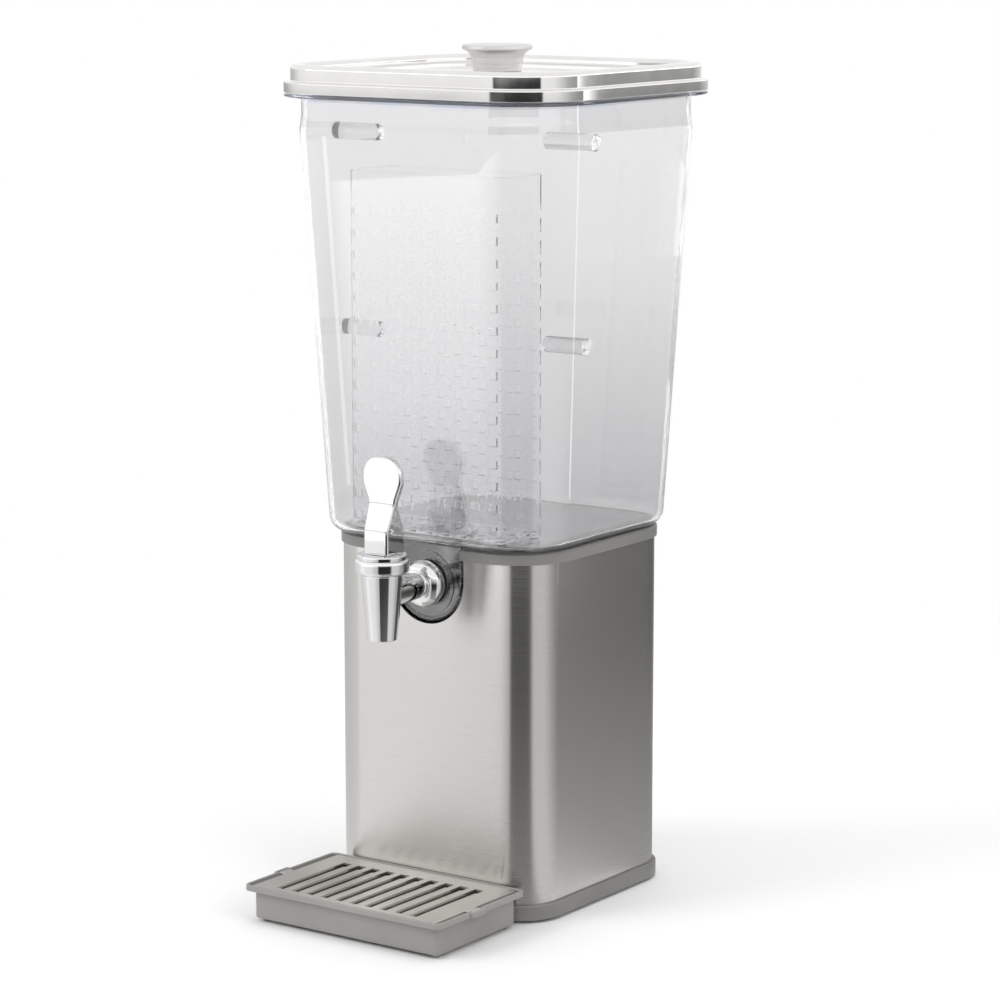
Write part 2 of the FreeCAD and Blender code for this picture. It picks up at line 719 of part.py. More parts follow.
draw_outline(sketch, [("-" + sump_inner, sump_axis), (sump_inner, sump_axis),
                      (sump_inner, bowl_bottom + " + 2 * bowl_wall"),
                      ("-" + sump_inner, bowl_bottom + " + 2 * bowl_wall")])
add_feature(bowl, "Pocket", sketch, "sump_front - sump_back - 2 * sump_wall")
sketch = new_sketch(bowl, "XZ_Plane", boss_front + " + overshoot")
draw_circle(sketch, "0", tap_axis, shank_bore_radius)
add_feature(bowl, "Pocket", sketch, "sump_boss_height + sump_wall + 2 * overshoot")
peg_tip = "(infuser_width / 2 + peg_tip_gap)"
for rise in ("peg_low", "peg_high"):
    peg_height = "(%s + %s)" % (bowl_bottom, rise)
    for side, back in ((-1, False), (1, True)):
        wall_lean = "(%s / taper_height * (bowl_width_high - bowl_width_low) / 2)" % rise
        sketch = new_sketch(bowl, "YZ_Plane",
                            "%d * (bowl_width_low / 2 - bowl_wall / 2 + %s)" % (side, wall_lean))
        draw_circle(sketch, "-peg_back", peg_height, "peg_radius")
        add_feature(bowl, "Pad", sketch,
                    "bowl_width_low / 2 - bowl_wall / 2 + %s - %s" % (wall_lean, peg_tip),
                    back=back)

        def at_tip(edge, side=side, peg_height=peg_height):
            box = edge.BoundBox
            middle = side * number_of(peg_tip)
            level = number_of(peg_height)
            return (abs(box.XMin - middle) < 0.01 and abs(box.XMax - middle) < 0.01
                    and abs((box.ZMin + box.ZMax) / 2 - level) < 1)
        soften(bowl, "peg_round", at_tip)

# Infuser: clear box whose front, back and floor are perforated.
infuser = new_body("infuser")
infuser_middle = "(-infuser_front + infuser_depth / 2)"
infuser_bottom = "(%s + bowl_wall + infuser_foot_height)" % bowl_bottom
infuser_top = "(%s + infuser_height)" % infuser_bottom
sketch = new_sketch(infuser, "XY_Plane", infuser_bottom)
draw_centred(sketch, "infuser_width", "infuser_depth", "infuser_corner", infuser_middle)
add_feature(infuser, "Pad", sketch, "infuser_height")
sketch = new_sketch(infuser, "XY_Plane", infuser_top)
draw_centred(sketch, "infuser_width - 2 * infuser_wall", "infuser_depth - 2 * infuser_wall",
             "infuser_corner - infuser_wall", infuser_middle)
add_feature(infuser, "Pocket", sketch, "infuser_height - infuser_wall")
row_span = "(infuser_pitch_x * (infuser_columns - 1))"
sketch = new_sketch(infuser, "XZ_Plane", "infuser_front + overshoot")
draw_square(sketch, "-%s / 2" % row_span, infuser_bottom + " + infuser_first_row", "infuser_hole")
hole = add_feature(infuser, "Pocket", sketch, "infuser_depth + 2 * overshoot")
repeat(infuser, hole, [("X_Axis", row_span, "infuser_columns"),
                       ("Z_Axis", "infuser_pitch_z * (infuser_rows - 1)", "infuser_rows")])
floor_span = "(infuser_pitch_x * (infuser_floor_rows - 1))"
sketch = new_sketch(infuser, "XY_Plane", infuser_bottom + " + infuser_wall + overshoot")
draw_square(sketch, "-%s / 2" % row_span, "%s - %s / 2" % (infuser_middle, floor_span),
            "infuser_hole")
hole = add_feature(infuser, "Pocket", sketch, "infuser_wall + 2 * overshoot")
repeat(infuser, hole, [("X_Axis", row_span, "infuser_columns"),
                       ("Y_Axis", floor_span, "infuser_floor_rows")])
sketch = new_sketch(infuser, "XY_Plane", infuser_bottom)
for side_x, side_y in corner_signs():
    draw_circle(sketch, "%d * (infuser_width / 2 - infuser_foot_inset)" % side_x,
                "%s + %d * (infuser_depth / 2 - infuser_foot_inset)" % (infuser_middle, side_y),
                "infuser_foot_radius")
add_feature(infuser, "Pad", sketch, "infuser_foot_height", back=True)

# Lid: pressed cover that wraps the rim, with a raised border and a skirt below.
lid = new_body("lid")
cover_width = "(rim_width - 2 * lid_band_inset)"
cover_depth = "(rim_depth - 2 * lid_band_inset)"
cover_corner = "(rim_corner - lid_band_inset)"
skirt_width = "(%s - 2 * lid_skirt_gap)" % mouth_width
skirt_depth = "(%s - 2 * lid_skirt_gap)" % mouth_depth
skirt_corner = "(%s - lid_skirt_gap)" % mouth_corner
rim_low = "(%s + rim_lip + free_gap)" % rim_bottom
sketch = new_sketch(lid, "XY_Plane", rim_low)
draw_centred(sketch, "rim_width", "rim_depth", "rim_corner", bowl_middle)
add_feature(lid, "Pad", sketch, "%s + lid_rim_cap - %s" % (rim_top, rim_low))
soften(lid, "lid_rim_round", at_height(rim_top + " + lid_rim_cap"))
sketch = new_sketch(lid, "XY_Plane", rim_low)
draw_centred(sketch, flange_width + " + 2 * free_gap", flange_depth + " + 2 * free_gap",
             flange_corner + " + free_gap", bowl_middle)
add_feature(lid, "Pocket", sketch, "%s - %s" % (rim_top, rim_low), back=True)
sketch = new_sketch(lid, "XY_Plane", rim_top + " + lid_rim_cap")
draw_centred(sketch, cover_width, cover_depth, cover_corner, bowl_middle)
add_feature(lid, "Pad", sketch, "lid_band_height")
sketch = new_sketch(lid, "XY_Plane", lid_top)
draw_centred(sketch, cover_width + " - 2 * lid_border", cover_depth + " - 2 * lid_border",
             cover_corner + " - lid_border", bowl_middle)
add_feature(lid, "Pocket", sketch, "lid_recess")
soften(lid, "lid_round", at_height(lid_top))
sketch = new_sketch(lid, "XY_Plane", rim_top)
draw_centred(sketch, skirt_width, skirt_depth, skirt_corner, bowl_middle)
add_feature(lid, "Pad", sketch, "lid_skirt_depth", back=True)
sketch = new_sketch(lid, "XY_Plane", rim_top + " - lid_skirt_depth")
draw_centred(sketch, skirt_width + " + 2 * lid_lip", skirt_depth + " + 2 * lid_lip",
             skirt_corner + " + lid_lip", bowl_middle)
add_feature(lid, "Pad", sketch, "lid_lip")
sketch = new_sketch(lid, "XY_Plane", rim_top + " - lid_skirt_depth")
draw_centred(sketch, skirt_width + " - 2 * lid_skirt_sheet",
             skirt_depth + " - 2 * lid_skirt_sheet",
             skirt_corner + " - lid_skirt_sheet", bowl_middle)
add_feature(lid, "Pocket", sketch, "%s - %s + lid_skirt_depth" % (panel_bottom, rim_top), back=True)
sketch = new_sketch(lid, "XY_Plane", rim_top)
draw_centred(sketch, cover_width + " - 2 * lid_sheet", cover_depth + " - 2 * lid_sheet",
             cover_corner + " - lid_sheet", bowl_middle)
draw_centred(sketch, cover_width + " - 2 * lid_border + 2 * lid_sheet",
             cover_depth + " - 2 * lid_border + 2 * lid_sheet",
             cover_corner + " - lid_border + lid_sheet", bowl_middle)
add_feature(lid, "Pocket", sketch, "lid_rim_cap + lid_band_height - lid_sheet", back=True)
sketch = new_sketch(lid, "XY_Plane", panel_top + " + overshoot")
draw_circle(sketch, "0", bowl_middle, "knob_screw_radius + panel_gap")
add_feature(lid, "Pocket", sketch, "lid_sheet + 2 * overshoot")

# Lid seal: a soft ring round the skirt, above its lip.
seal = new_body("lid_seal")
seal_bottom = "(%s - lid_skirt_depth + lid_lip + panel_gap)" % rim_top
sketch = new_sketch(seal, "XY_Plane", seal_bottom)
draw_centred(sketch, mouth_width + " - 2 * seal_gap", mouth_depth + " - 2 * seal_gap",
             mouth_corner + " - seal_gap", bowl_middle)
draw_centred(sketch, skirt_width + " + 2 * slip", skirt_depth + " + 2 * slip",
             skirt_corner + " + slip", bowl_middle)
add_feature(seal, "Pad", sketch, "seal_height")

# Knob: flared round knob, turned, with a blind bore for its screw.
knob = new_body("lid_knob")
knob_top = "(%s + knob_height)" % panel_top
sketch = new_sketch(knob, "XZ_Plane", "bowl_shift")
draw_outline(sketch, [("0", panel_top), ("knob_base_radius", panel_top),
                      ("knob_neck_radius", panel_top + " + knob_neck_height"),
                      ("knob_radius - knob_round", knob_top + " - knob_lip"),
                      ("knob_radius", knob_top + " - knob_lip + knob_round"),
                      ("knob_radius", knob_top + " - knob_round"),
                      ("knob_radius - knob_round", knob_top), ("0", knob_top)],
             rounds={2: (-1, "knob_flare_radius"), 3: (1, "knob_round"), 5: (1, "knob_round")})
add_feature(knob, "Revolution", sketch, "V_Axis")
sketch = new_sketch(knob, "XY_Plane", panel_top)
draw_circle(sketch, "0", bowl_middle, "knob_screw_radius + slip")
add_feature(knob, "Pocket", sketch, "knob_screw_depth + overshoot", back=True)

washer = new_body("lid_knob_washer")
washer_bottom = "(%s - knob_washer_thick)" % panel_bottom
sketch = new_sketch(washer, "XY_Plane", washer_bottom)
draw_circle(sketch, "0", bowl_middle, "knob_washer_radius")
draw_circle(sketch, "0", bowl_middle, "knob_screw_radius + panel_gap")
add_feature(washer, "Pad", sketch, "knob_washer_thick")

knob_screw = new_body("lid_knob_screw")
sketch = new_sketch(knob_screw, "XZ_Plane", "bowl_shift")
head_low = washer_bottom + " - knob_screw_head_height"
draw_outline(sketch, [("0", head_low), ("knob_screw_head_radius - knob_screw_bevel", head_low),
                      ("knob_screw_head_radius", head_low + " + knob_screw_bevel"),
                      ("knob_screw_head_radius", washer_bottom),
                      ("knob_screw_radius", washer_bottom),
                      ("knob_screw_radius", panel_top + " + knob_screw_depth"),
                      ("0", panel_top + " + knob_screw_depth")])
add_feature(knob_screw, "Revolution", sketch, "V_Axis")

# Tap body: shank, domed flange, neck and tapered spout with its bores.
tap = new_body("tap_body")
sketch = new_sketch(tap, "YZ_Plane", up=tap_axis)
draw_outline(sketch, [
    ("-%s + tap_shank_length" % flange_back, "0"),
    ("-%s + tap_shank_length" % flange_back, "tap_shank_radius"),
    ("-" + flange_back, "tap_shank_radius"),
    ("-" + flange_back, "tap_flange_radius"),
    ("-%s - tap_flange_edge" % flange_back, "tap_flange_radius"),
    ("-%s - tap_flange_thick" % flange_back, "tap_neck_radius"),
    ("-tap_front", "tap_neck_radius"),
    ("-tap_front", "0")], rounds={4: (1, "tap_flange_dome")})
add_feature(tap, "Revolution", sketch, "H_Axis")
sketch = new_sketch(tap, "XZ_Plane", "tap_front")
draw_outline(sketch, [("0", spout_bottom), ("spout_bottom_radius", spout_bottom),
                      ("spout_top_radius", spout_top), ("barrel_neck_radius", spout_top),
                      ("barrel_neck_radius", spout_top + " + barrel_neck_height"),
                      ("0", spout_top + " + barrel_neck_height")])
add_feature(tap, "Revolution", sketch, "V_Axis")
sketch = new_sketch(tap, "XZ_Plane", "tap_front")
draw_outline(sketch, [("0", spout_bottom + " - overshoot"),
                      ("spout_bore_radius", spout_bottom + " - overshoot"),
                      ("spout_bore_radius", barrel_seat), ("barrel_bore_radius", barrel_seat),
                      ("barrel_bore_radius", spout_top + " + barrel_neck_height + overshoot"),
                      ("0", spout_top + " + barrel_neck_height + overshoot")])
add_feature(tap, "Groove", sketch, "V_Axis")
sketch = new_sketch(tap, "XZ_Plane", "tap_front")
draw_circle(sketch, "0", tap_axis, "tap_bore_radius")
add_feature(tap, "Pocket", sketch, "tap_front - %s + tap_shank_length + overshoot" % flange_back)

# Bonnet: turned ring that closes the barrel, with a thin cap on it.
bonnet = new_body("tap_bonnet")
sketch = new_sketch(bonnet, "XZ_Plane", "tap_front")
draw_outline(sketch, [("stem_radius + panel_gap", bonnet_top + " - bonnet_top_thick"),
                      ("barrel_neck_radius + slip", bonnet_top + " - bonnet_top_thick"),
                      ("barrel_neck_radius + slip", bonnet_bottom),
                      ("bonnet_radius", bonnet_bottom), ("bonnet_radius", bonnet_top),
                      ("stem_radius + panel_gap", bonnet_top)])
add_feature(bonnet, "Revolution", sketch, "V_Axis")
for height in (bonnet_bottom, bonnet_top):
    soften(bonnet, "bonnet_round", is_ring("bonnet_radius", height))

cap = new_body("tap_cap")
sketch = new_sketch(cap, "XY_Plane", bonnet_top)
draw_circle(sketch, "0", "-tap_front", "cap_radius")
draw_circle(sketch, "0", "-tap_front", "stem_radius + panel_gap")
add_feature(cap, "Pad", sketch, "cap_thick")
soften(cap, "cap_round", is_ring("cap_radius", cap_top))

# Flat seals each side of the sump wall, and the nut inside it.
outer_seal = new_body("tap_outer_seal")
sketch = new_sketch(outer_seal, "XZ_Plane", boss_front)
draw_circle(sketch, "0", tap_axis, "tap_seal_radius")
draw_circle(sketch, "0", tap_axis, shank_bore_radius)
add_feature(outer_seal, "Pad", sketch, "tap_seal_thick")
inner_seal = new_body("tap_inner_seal")
sketch = new_sketch(inner_seal, "XZ_Plane", "sump_front - sump_wall")
draw_circle(sketch, "0", tap_axis, "tap_seal_radius")
draw_circle(sketch, "0", tap_axis, shank_bore_radius)
add_feature(inner_seal, "Pad", sketch, "tap_seal_thick", back=True)
nut = new_body("tap_nut")
sketch = new_sketch(nut, "XZ_Plane", "sump_front - sump_wall - tap_seal_thick")
nut_reach = "(tap_nut_flats / 2 / cos(30))"
hexagon = []
for turn in range(6):
    hexagon.append(("%s * %.9f" % (nut_reach, math.cos(math.radians(60 * turn))),
                    "%s + %s * %.9f" % (tap_axis, nut_reach, math.sin(math.radians(60 * turn)))))
draw_outline(sketch, hexagon)
draw_circle(sketch, "0", tap_axis, "tap_shank_radius + slip")
add_feature(nut, "Pad", sketch, "tap_nut_thick", back=True)

# Stem, its cross pin and the soft seat cup that lifts off the seat.
stem = new_body("tap_stem")
sketch = new_sketch(stem, "XZ_Plane", "tap_front")
stem_bottom = "(%s + cup_height - cup_grip)" % barrel_seat
stem_top = "(%s + stem_rise)" % lever_bottom
draw_outline(sketch, [("0", stem_bottom), ("stem_radius", stem_bottom),
                      ("stem_radius", stem_top + " - stem_bevel"),
                      ("stem_radius - stem_bevel", stem_top),
                      ("0", stem_top)])
add_feature(stem, "Revolution", sketch, "V_Axis")
pin_height = "(%s + pin_rise)" % lever_bottom
sketch = new_sketch(stem, "YZ_Plane")
draw_circle(sketch, "-tap_front", pin_height, "pin_radius + slip")
add_feature(stem, "Pocket", sketch, "4 * stem_radius", both=True)
pin = new_body("tap_pin")
sketch = new_sketch(pin, "YZ_Plane")
draw_circle(sketch, "-tap_front", pin_height, "pin_radius")
add_feature(pin, "Pad", sketch, "pin_length", both=True)
cup = new_body("tap_cup")
sketch = new_sketch(cup, "XZ_Plane", "tap_front")
cup_top = "(%s + cup_height)" % barrel_seat
cup_bottom = "(%s + cup_seat_gap)" % barrel_seat
socket_bottom = "(%s - cup_seat_gap)" % stem_bottom
draw_outline(sketch, [("0", cup_bottom), ("cup_radius", cup_bottom),
                      ("cup_radius", cup_bottom + " + cup_lip"),
                      ("cup_neck_radius", cup_bottom + " + cup_bell_height"),
                      ("cup_neck_radius", cup_top), ("stem_radius + slip", cup_top),
                      ("stem_radius + slip", socket_bottom), ("0", socket_bottom)],
             rounds={2: (-1, "cup_bell_radius")})
add_feature(cup, "Revolution", sketch, "V_Axis")

# Lever: a boot-shaped base that necks into a flat paddle.
lever = new_body("tap_lever")
heel = "(-tap_front - lever_heel)"
paddle_front = "(%s + lever_lean)" % heel
paddle_back = "(%s + lever_lean + lever_thick)" % heel
lever_top = "(%s + lever_height)" % lever_bottom
sketch = new_sketch(lever, "YZ_Plane")
draw_outline(sketch, [
    (heel, lever_bottom), (heel, lever_bottom + " + lever_base_height"),
    (paddle_front, lever_bottom + " + lever_slope_height"), (paddle_front, lever_top),
    (paddle_back, lever_top), (paddle_back, lever_bottom + " + lever_back_slope_height"),
    (heel + " + lever_base_depth", lever_bottom + " + lever_base_height"),
    (heel + " + lever_base_depth", lever_bottom)])
add_feature(lever, "Pad", sketch, "lever_paddle_width", both=True)


def at_lever_bend(edge):
    """Test for edges that cross the lever between its base and its top."""
    box = edge.BoundBox
    level = (box.ZMin + box.ZMax) / 2 - number_of(lever_bottom)
    crosses = box.XLength > number_of("lever_thick") and box.YLength + box.ZLength < 0.01
    return crosses and 0 < level - 0.01 and level + 0.01 < number_of("lever_height")


soften(lever, "lever_bend", at_lever_bend)
sketch = new_sketch(lever, "XZ_Plane", "tap_front + lever_heel + overshoot")
blank_half = "(lever_paddle_width / 2 + overshoot)"
blank_low = lever_bottom + " - 2 * overshoot"
blank_high = lever_top + " + overshoot"
draw_outline(sketch, [("-" + blank_half, blank_low), (blank_half, blank_low),
                      (blank_half, blank_high), ("-" + blank_half, blank_high)])
base_half = "(lever_base_width / 2)"
neck_half = "(lever_neck_width / 2)"
paddle_half = "(lever_paddle_width / 2)"
right = [(base_half, lever_bottom + " - overshoot"),
         (base_half, lever_bottom + " + lever_base_height"),
         (neck_half, lever_bottom + " + lever_slope_height"),
         (paddle_half, lever_bottom + " + lever_paddle_height"),
         (paddle_half, lever_top + " - lever_top_round"),
         (paddle_half + " - lever_top_round", lever_top)]
left = [("-(%s)" % x, y) for x, y in reversed(right)]
draw_outline(sketch, right + left, rounds={4: (1, "lever_top_round"), 6: (1, "lever_top_round")})
add_feature(lever, "Pocket", sketch, "lever_base_depth + 2 * overshoot")
sketch = new_sketch(lever, "XY_Plane", lever_bottom)
draw_outline(sketch, [
    ("-lever_pocket_width / 2", heel + " + lever_pocket_start"),
    ("lever_pocket_width / 2", heel + " + lever_pocket_start"),
    ("lever_pocket_width / 2", heel + " + lever_pocket_start + lever_pocket_length"),
    ("-lever_pocket_width / 2", heel + " + lever_pocket_start + lever_pocket_length")])
add_feature(lever, "Pocket", sketch, "lever_pocket_height", back=True)
sketch = new_sketch(lever, "YZ_Plane")
slot_low = "(%s + pin_rise - lever_slot_height / 2)" % lever_bottom
draw_outline(sketch, [
    (heel + " + lever_slot_start", slot_low),
    (heel + " + lever_slot_start + lever_slot_length", slot_low),
    (heel + " + lever_slot_start + lever_slot_length", slot_low + " + lever_slot_height"),
    (heel + " + lever_slot_start", slot_low + " + lever_slot_height")])
add_feature(lever, "Pocket", sketch, "pin_length + overshoot", both=True)

# Drip tray: open tray with a flared ledge, an upturned rim and side ears.
tray = new_body("drip_tray")
tray_back_wall = "(%s + tray_back_step)" % tray_back
wall_half = "(tray_rim_width / 2 - tray_overhang)"
lip_low = "(tray_rim_top - tray_lip_height)"
sketch = new_sketch(tray, "XY_Plane", "tray_bottom")
draw_rounded(sketch, "-" + wall_half, wall_half, "-tray_front + tray_overhang",
             "-" + tray_back_wall, "tray_wall_corner")
add_feature(tray, "Pad", sketch, lip_low + " - tray_bottom")
soften(tray, "tray_foot_round", at_height("tray_bottom"))
sketch = new_sketch(tray, "XY_Plane", lip_low)
draw_rounded(sketch, "-tray_rim_width / 2", "tray_rim_width / 2", "-tray_front", "-" + tray_back,
             "tray_rim_corner")
add_feature(tray, "Pad", sketch, "tray_lip_height")
ear_front = "(-tray_ear_middle - tray_ear_length / 2)"
ear_back = "(-tray_ear_middle + tray_ear_length / 2)"
sketch = new_sketch(tray, "XY_Plane", lip_low)
draw_rounded(sketch, "-tray_rim_width / 2 - tray_ear_proud", "tray_rim_width / 2 + tray_ear_proud",
             ear_front, ear_back, "tray_ear_proud - slip")
add_feature(tray, "Pad", sketch, "tray_lip_height")
soften(tray, "tray_rim_round", at_height("tray_rim_top"))
sketch = new_sketch(tray, "XY_Plane", "tray_rim_top")
draw_rounded(sketch, "-tray_rim_width / 2 + tray_rim_wall", "tray_rim_width / 2 - tray_rim_wall",
             "-tray_front + tray_rim_wall", "-%s - tray_rim_back_wall" % tray_back,
             "tray_rim_corner - tray_rim_wall")
add_feature(tray, "Pocket", sketch, "tray_lip_height - tray_ledge_thick")
sketch = new_sketch(tray, "XY_Plane", "tray_rim_top")
draw_outline(sketch, [
    ("-tray_rim_width / 2 - tray_ear_proud + tray_rim_wall", ear_front + " + tray_rim_wall"),
    ("tray_rim_width / 2 + tray_ear_proud - tray_rim_wall", ear_front + " + tray_rim_wall"),
    ("tray_rim_width / 2 + tray_ear_proud - tray_rim_wall", ear_back + " - tray_rim_wall"),
    ("-tray_rim_width / 2 - tray_ear_proud + tray_rim_wall", ear_back + " - tray_rim_wall")])
add_feature(tray, "Pocket", sketch, "tray_lip_height - tray_ledge_thick")
sketch = new_sketch(tray, "XY_Plane", ledge_top)
draw_rounded(sketch, "-%s + tray_wall" % wall_half, wall_half + " - tray_wall",
             "-tray_front + tray_overhang + tray_wall", "-%s - tray_wall" % tray_back_wall,
             "tray_wall_corner - tray_wall / 2")
add_feature(tray, "Pocket", sketch, ledge_top + " - tray_bottom - tray_floor")
sketch = new_sketch(tray, "XY_Plane", "0")
for side_x in (-1, 1):
    for y in ("-tray_front + tray_overhang + tray_nub_inset",
              "-%s - tray_nub_inset" % tray_back_wall):
        draw_circle(sketch, "%d * (%s - tray_nub_inset)" % (side_x, wall_half), y,
                    "tray_nub_radius")
add_feature(tray, "Pad", sketch, "tray_bottom + tray_floor / 2")

# Drip grid: sheet-metal cover with slanted louvre blades and side tabs.
grid = new_body("drip_grid")
grid_half = "(tray_rim_width / 2 - tray_rim_wall - grid_side_gap)"
grid_front = "(-tray_front + tray_rim_wall + grid_end_gap)"
grid_back = "(-%s - tray_rim_back_wall - grid_end_gap)" % tray_back
sketch = new_sketch(grid, "XY_Plane", ledge_top)
draw_rounded(sketch, "-" + grid_half, grid_half, grid_front, grid_back, "grid_corner")
add_feature(grid, "Pad", sketch, "grid_sheet")
sketch = new_sketch(grid, "XY_Plane", ledge_top)
tab_half = "(tray_rim_width / 2 + tray_ear_proud - tray_rim_wall - grid_end_gap)"
draw_rounded(sketch, "-" + tab_half, tab_half, ear_front + " + tray_rim_wall + grid_end_gap",
             ear_back + " - tray_rim_wall - grid_end_gap", "grid_corner / 2")
add_feature(grid, "Pad", sketch, "grid_sheet")
slot_span = "(grid_pitch * (grid_slots - 1))"
slot_left = "(-%s / 2 - grid_slot_width / 2)" % slot_span
sketch = new_sketch(grid, "XY_Plane", ledge_top + " + grid_sheet + overshoot")
draw_outline(sketch, [(slot_left, "-grid_slot_back - grid_slot_length"),
                      (slot_left + " + grid_slot_width", "-grid_slot_back - grid_slot_length"),
                      (slot_left + " + grid_slot_width", "-grid_slot_back"),
                      (slot_left, "-grid_slot_back")])
slot = add_feature(grid, "Pocket", sketch, "grid_sheet + 2 * overshoot")
repeat(grid, slot, [("X_Axis", slot_span, "grid_slots")])
sketch = new_sketch(grid, "XZ_Plane", "grid_slot_back + grid_slot_length + overshoot / 2")
blade_top = "(%s + grid_sheet)" % ledge_top
blade_left = "(%s + grid_slot_width + grid_blade_overlap - grid_blade_sheet)" % slot_left
draw_outline(sketch, [
    (blade_left, blade_top), (blade_left + " + grid_blade_sheet", blade_top),
    (blade_left + " + grid_blade_sheet - grid_blade_run", blade_top + " - grid_blade_drop"),
    (blade_left + " - grid_blade_run", blade_top + " - grid_blade_drop")])
blade = add_feature(grid, "Pad", sketch, "grid_blade_length", back=True)
repeat(grid, blade, [("X_Axis", slot_span, "grid_slots")])

# Check every object and write one file for each part.
doc.recompute()
parts = [obj for obj in doc.Objects if obj.TypeId == "PartDesign::Body"] + [screws]
for obj in doc.Objects:
    if "Invalid" in obj.State or "Error" in obj.State:
        raise RuntimeError("object did not build: " + obj.Name)
for obj in parts:
    if obj.Shape.isNull() or not obj.Shape.isValid():
        raise RuntimeError("shape is not sound: " + obj.Label)
os.makedirs("parts", exist_ok=True)
for obj in parts:
    box = obj.Shape.optimalBoundingBox()
    print("%-18s solids %d  volume %9.1f  x %7.2f %7.2f  y %7.2f %7.2f  z %7.2f %7.2f" % (
        obj.Label, len(obj.Shape.Solids), obj.Shape.Volume, box.XMin, box.XMax,
        box.YMin, box.YMax, box.ZMin, box.ZMax))
    obj.Shape.exportStep("parts/%s.step" % obj.Label)
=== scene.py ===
import json
import math

import bmesh
import bpy
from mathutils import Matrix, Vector


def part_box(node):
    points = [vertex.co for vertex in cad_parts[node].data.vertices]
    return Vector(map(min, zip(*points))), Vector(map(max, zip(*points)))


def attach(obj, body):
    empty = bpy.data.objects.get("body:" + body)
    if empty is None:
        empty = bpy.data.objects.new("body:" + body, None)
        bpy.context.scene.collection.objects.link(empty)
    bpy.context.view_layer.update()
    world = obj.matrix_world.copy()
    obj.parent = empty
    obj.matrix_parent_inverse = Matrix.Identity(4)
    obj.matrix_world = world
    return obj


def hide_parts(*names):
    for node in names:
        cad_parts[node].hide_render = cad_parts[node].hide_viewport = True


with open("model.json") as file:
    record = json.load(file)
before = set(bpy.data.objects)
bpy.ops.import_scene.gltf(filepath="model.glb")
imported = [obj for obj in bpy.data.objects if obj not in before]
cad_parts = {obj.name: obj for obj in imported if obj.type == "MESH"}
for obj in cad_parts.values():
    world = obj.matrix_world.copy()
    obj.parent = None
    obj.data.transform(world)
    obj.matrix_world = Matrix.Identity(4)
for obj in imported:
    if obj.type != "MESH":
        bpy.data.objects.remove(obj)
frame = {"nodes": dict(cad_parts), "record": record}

nodes = frame["nodes"]
record = frame["record"]
bodyOf = {node: body for body, members in record["behaviour"]["bodies"].items() for node in members}
slotOf = {part["node"]: part["material_slot"] for part in record["subparts"]}
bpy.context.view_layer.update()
print("frame loaded,", len(nodes), "nodes")


# Small tools for meshes.
weldGap = 1e-6      # points closer than this are one
flatAngle = 0.4      # degrees between faces that count as flat


def inMetres(**sizes):      # the sizes of a piece are written in millimetres
    return {name: size / 1000 for name, size in sizes.items()}


def newPiece(name, vertices, faces, finish):
    mesh = bpy.data.meshes.new(name)
    mesh.from_pydata([tuple(v) for v in vertices], [], faces)
    mesh.materials.append(finish)
    piece = bpy.data.objects.new(name, mesh)
    bpy.context.scene.collection.objects.link(piece)
    build = bmesh.new()
    build.from_mesh(mesh)
    bmesh.ops.remove_doubles(build, verts=build.verts, dist=weldGap)
    bmesh.ops.recalc_face_normals(build, faces=build.faces)
    build.to_mesh(mesh)
    build.free()
    return piece


def applyModifiers(piece):
    graph = bpy.context.evaluated_depsgraph_get()
    mesh = bpy.data.meshes.new_from_object(
        piece.evaluated_get(graph), preserve_all_data_layers=True, depsgraph=graph)
    piece.modifiers.clear()
    piece.data = mesh


def combine(piece, other, operation):      # UNION, DIFFERENCE or INTERSECT
    modifier = piece.modifiers.new("combine", "BOOLEAN")
    modifier.object = other
    modifier.operation = operation
    modifier.solver = "EXACT"
    applyModifiers(piece)
    bpy.data.objects.remove(other)


def smooth(piece, sharpAngle=32):      # flat faces stay flat, rounds turn evenly
    piece.data.shade_smooth()
    piece.data.set_sharp_from_angle(angle=math.radians(sharpAngle))
    modifier = piece.modifiers.new("normals", "WEIGHTED_NORMAL")
    modifier.keep_sharp = True
    applyModifiers(piece)


def dress(piece, node):      # the piece stands for the node, takes its body and hides the node
    smooth(piece)
    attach(piece, bodyOf[node])
    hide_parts(node)


def ring(middle, width, depth, corner, z, steps=12):      # rounded rectangle from above
    points = []
    for quarter, (signX, signY) in enumerate(((1, 1), (-1, 1), (-1, -1), (1, -1))):
        centreX = middle[0] + signX * (width / 2 - corner)
        centreY = middle[1] + signY * (depth / 2 - corner)
        for step in range(steps + 1):
            angle = (quarter + step / steps) * math.pi / 2
            points.append((centreX + corner * math.cos(angle), centreY + corner * math.sin(angle), z))
    return points


def insetRing(middle, width, depth, corner, inset, z, steps=12):
    return ring(middle, width - 2 * inset, depth - 2 * inset, corner - inset, z, steps)


def loft(name, rings, finish):      # skin over rings, closed at both ends
    count = len(rings[0])
    vertices = [point for loop in rings for point in loop]
    faces = [tuple(range(count)), tuple(range((len(rings) - 1) * count, len(rings) * count))]
    for i in range(len(rings) - 1):
        for j in range(count):
            k = (j + 1) % count
            faces.append((i * count + j, i * count + k, (i + 1) * count + k, (i + 1) * count + j))
    return newPiece(name, vertices, faces, finish)


def turn(name, line, finish, origin, axis="Z", steps=96):      # line of (radius, height)
    vertices = []
    faces = []
    for radius, height in line:
        for step in range(steps):
            angle = step / steps * 2 * math.pi
            across, side = radius * math.cos(angle), radius * math.sin(angle)
            offset = {"X": (height, across, side), "Y": (across, height, side),
                      "Z": (across, side, height)}[axis]
            vertices.append(Vector(origin) + Vector(offset))
    closed = line[0][0] > 0      # a line that starts off the axis runs round to its start
    for i in range(len(line) if closed else len(line) - 1):
        j = (i + 1) % len(line)
        for step in range(steps):
            after = (step + 1) % steps
            faces.append((i * steps + step, i * steps + after, j * steps + after, j * steps + step))
    return newPiece(name, vertices, faces, finish)


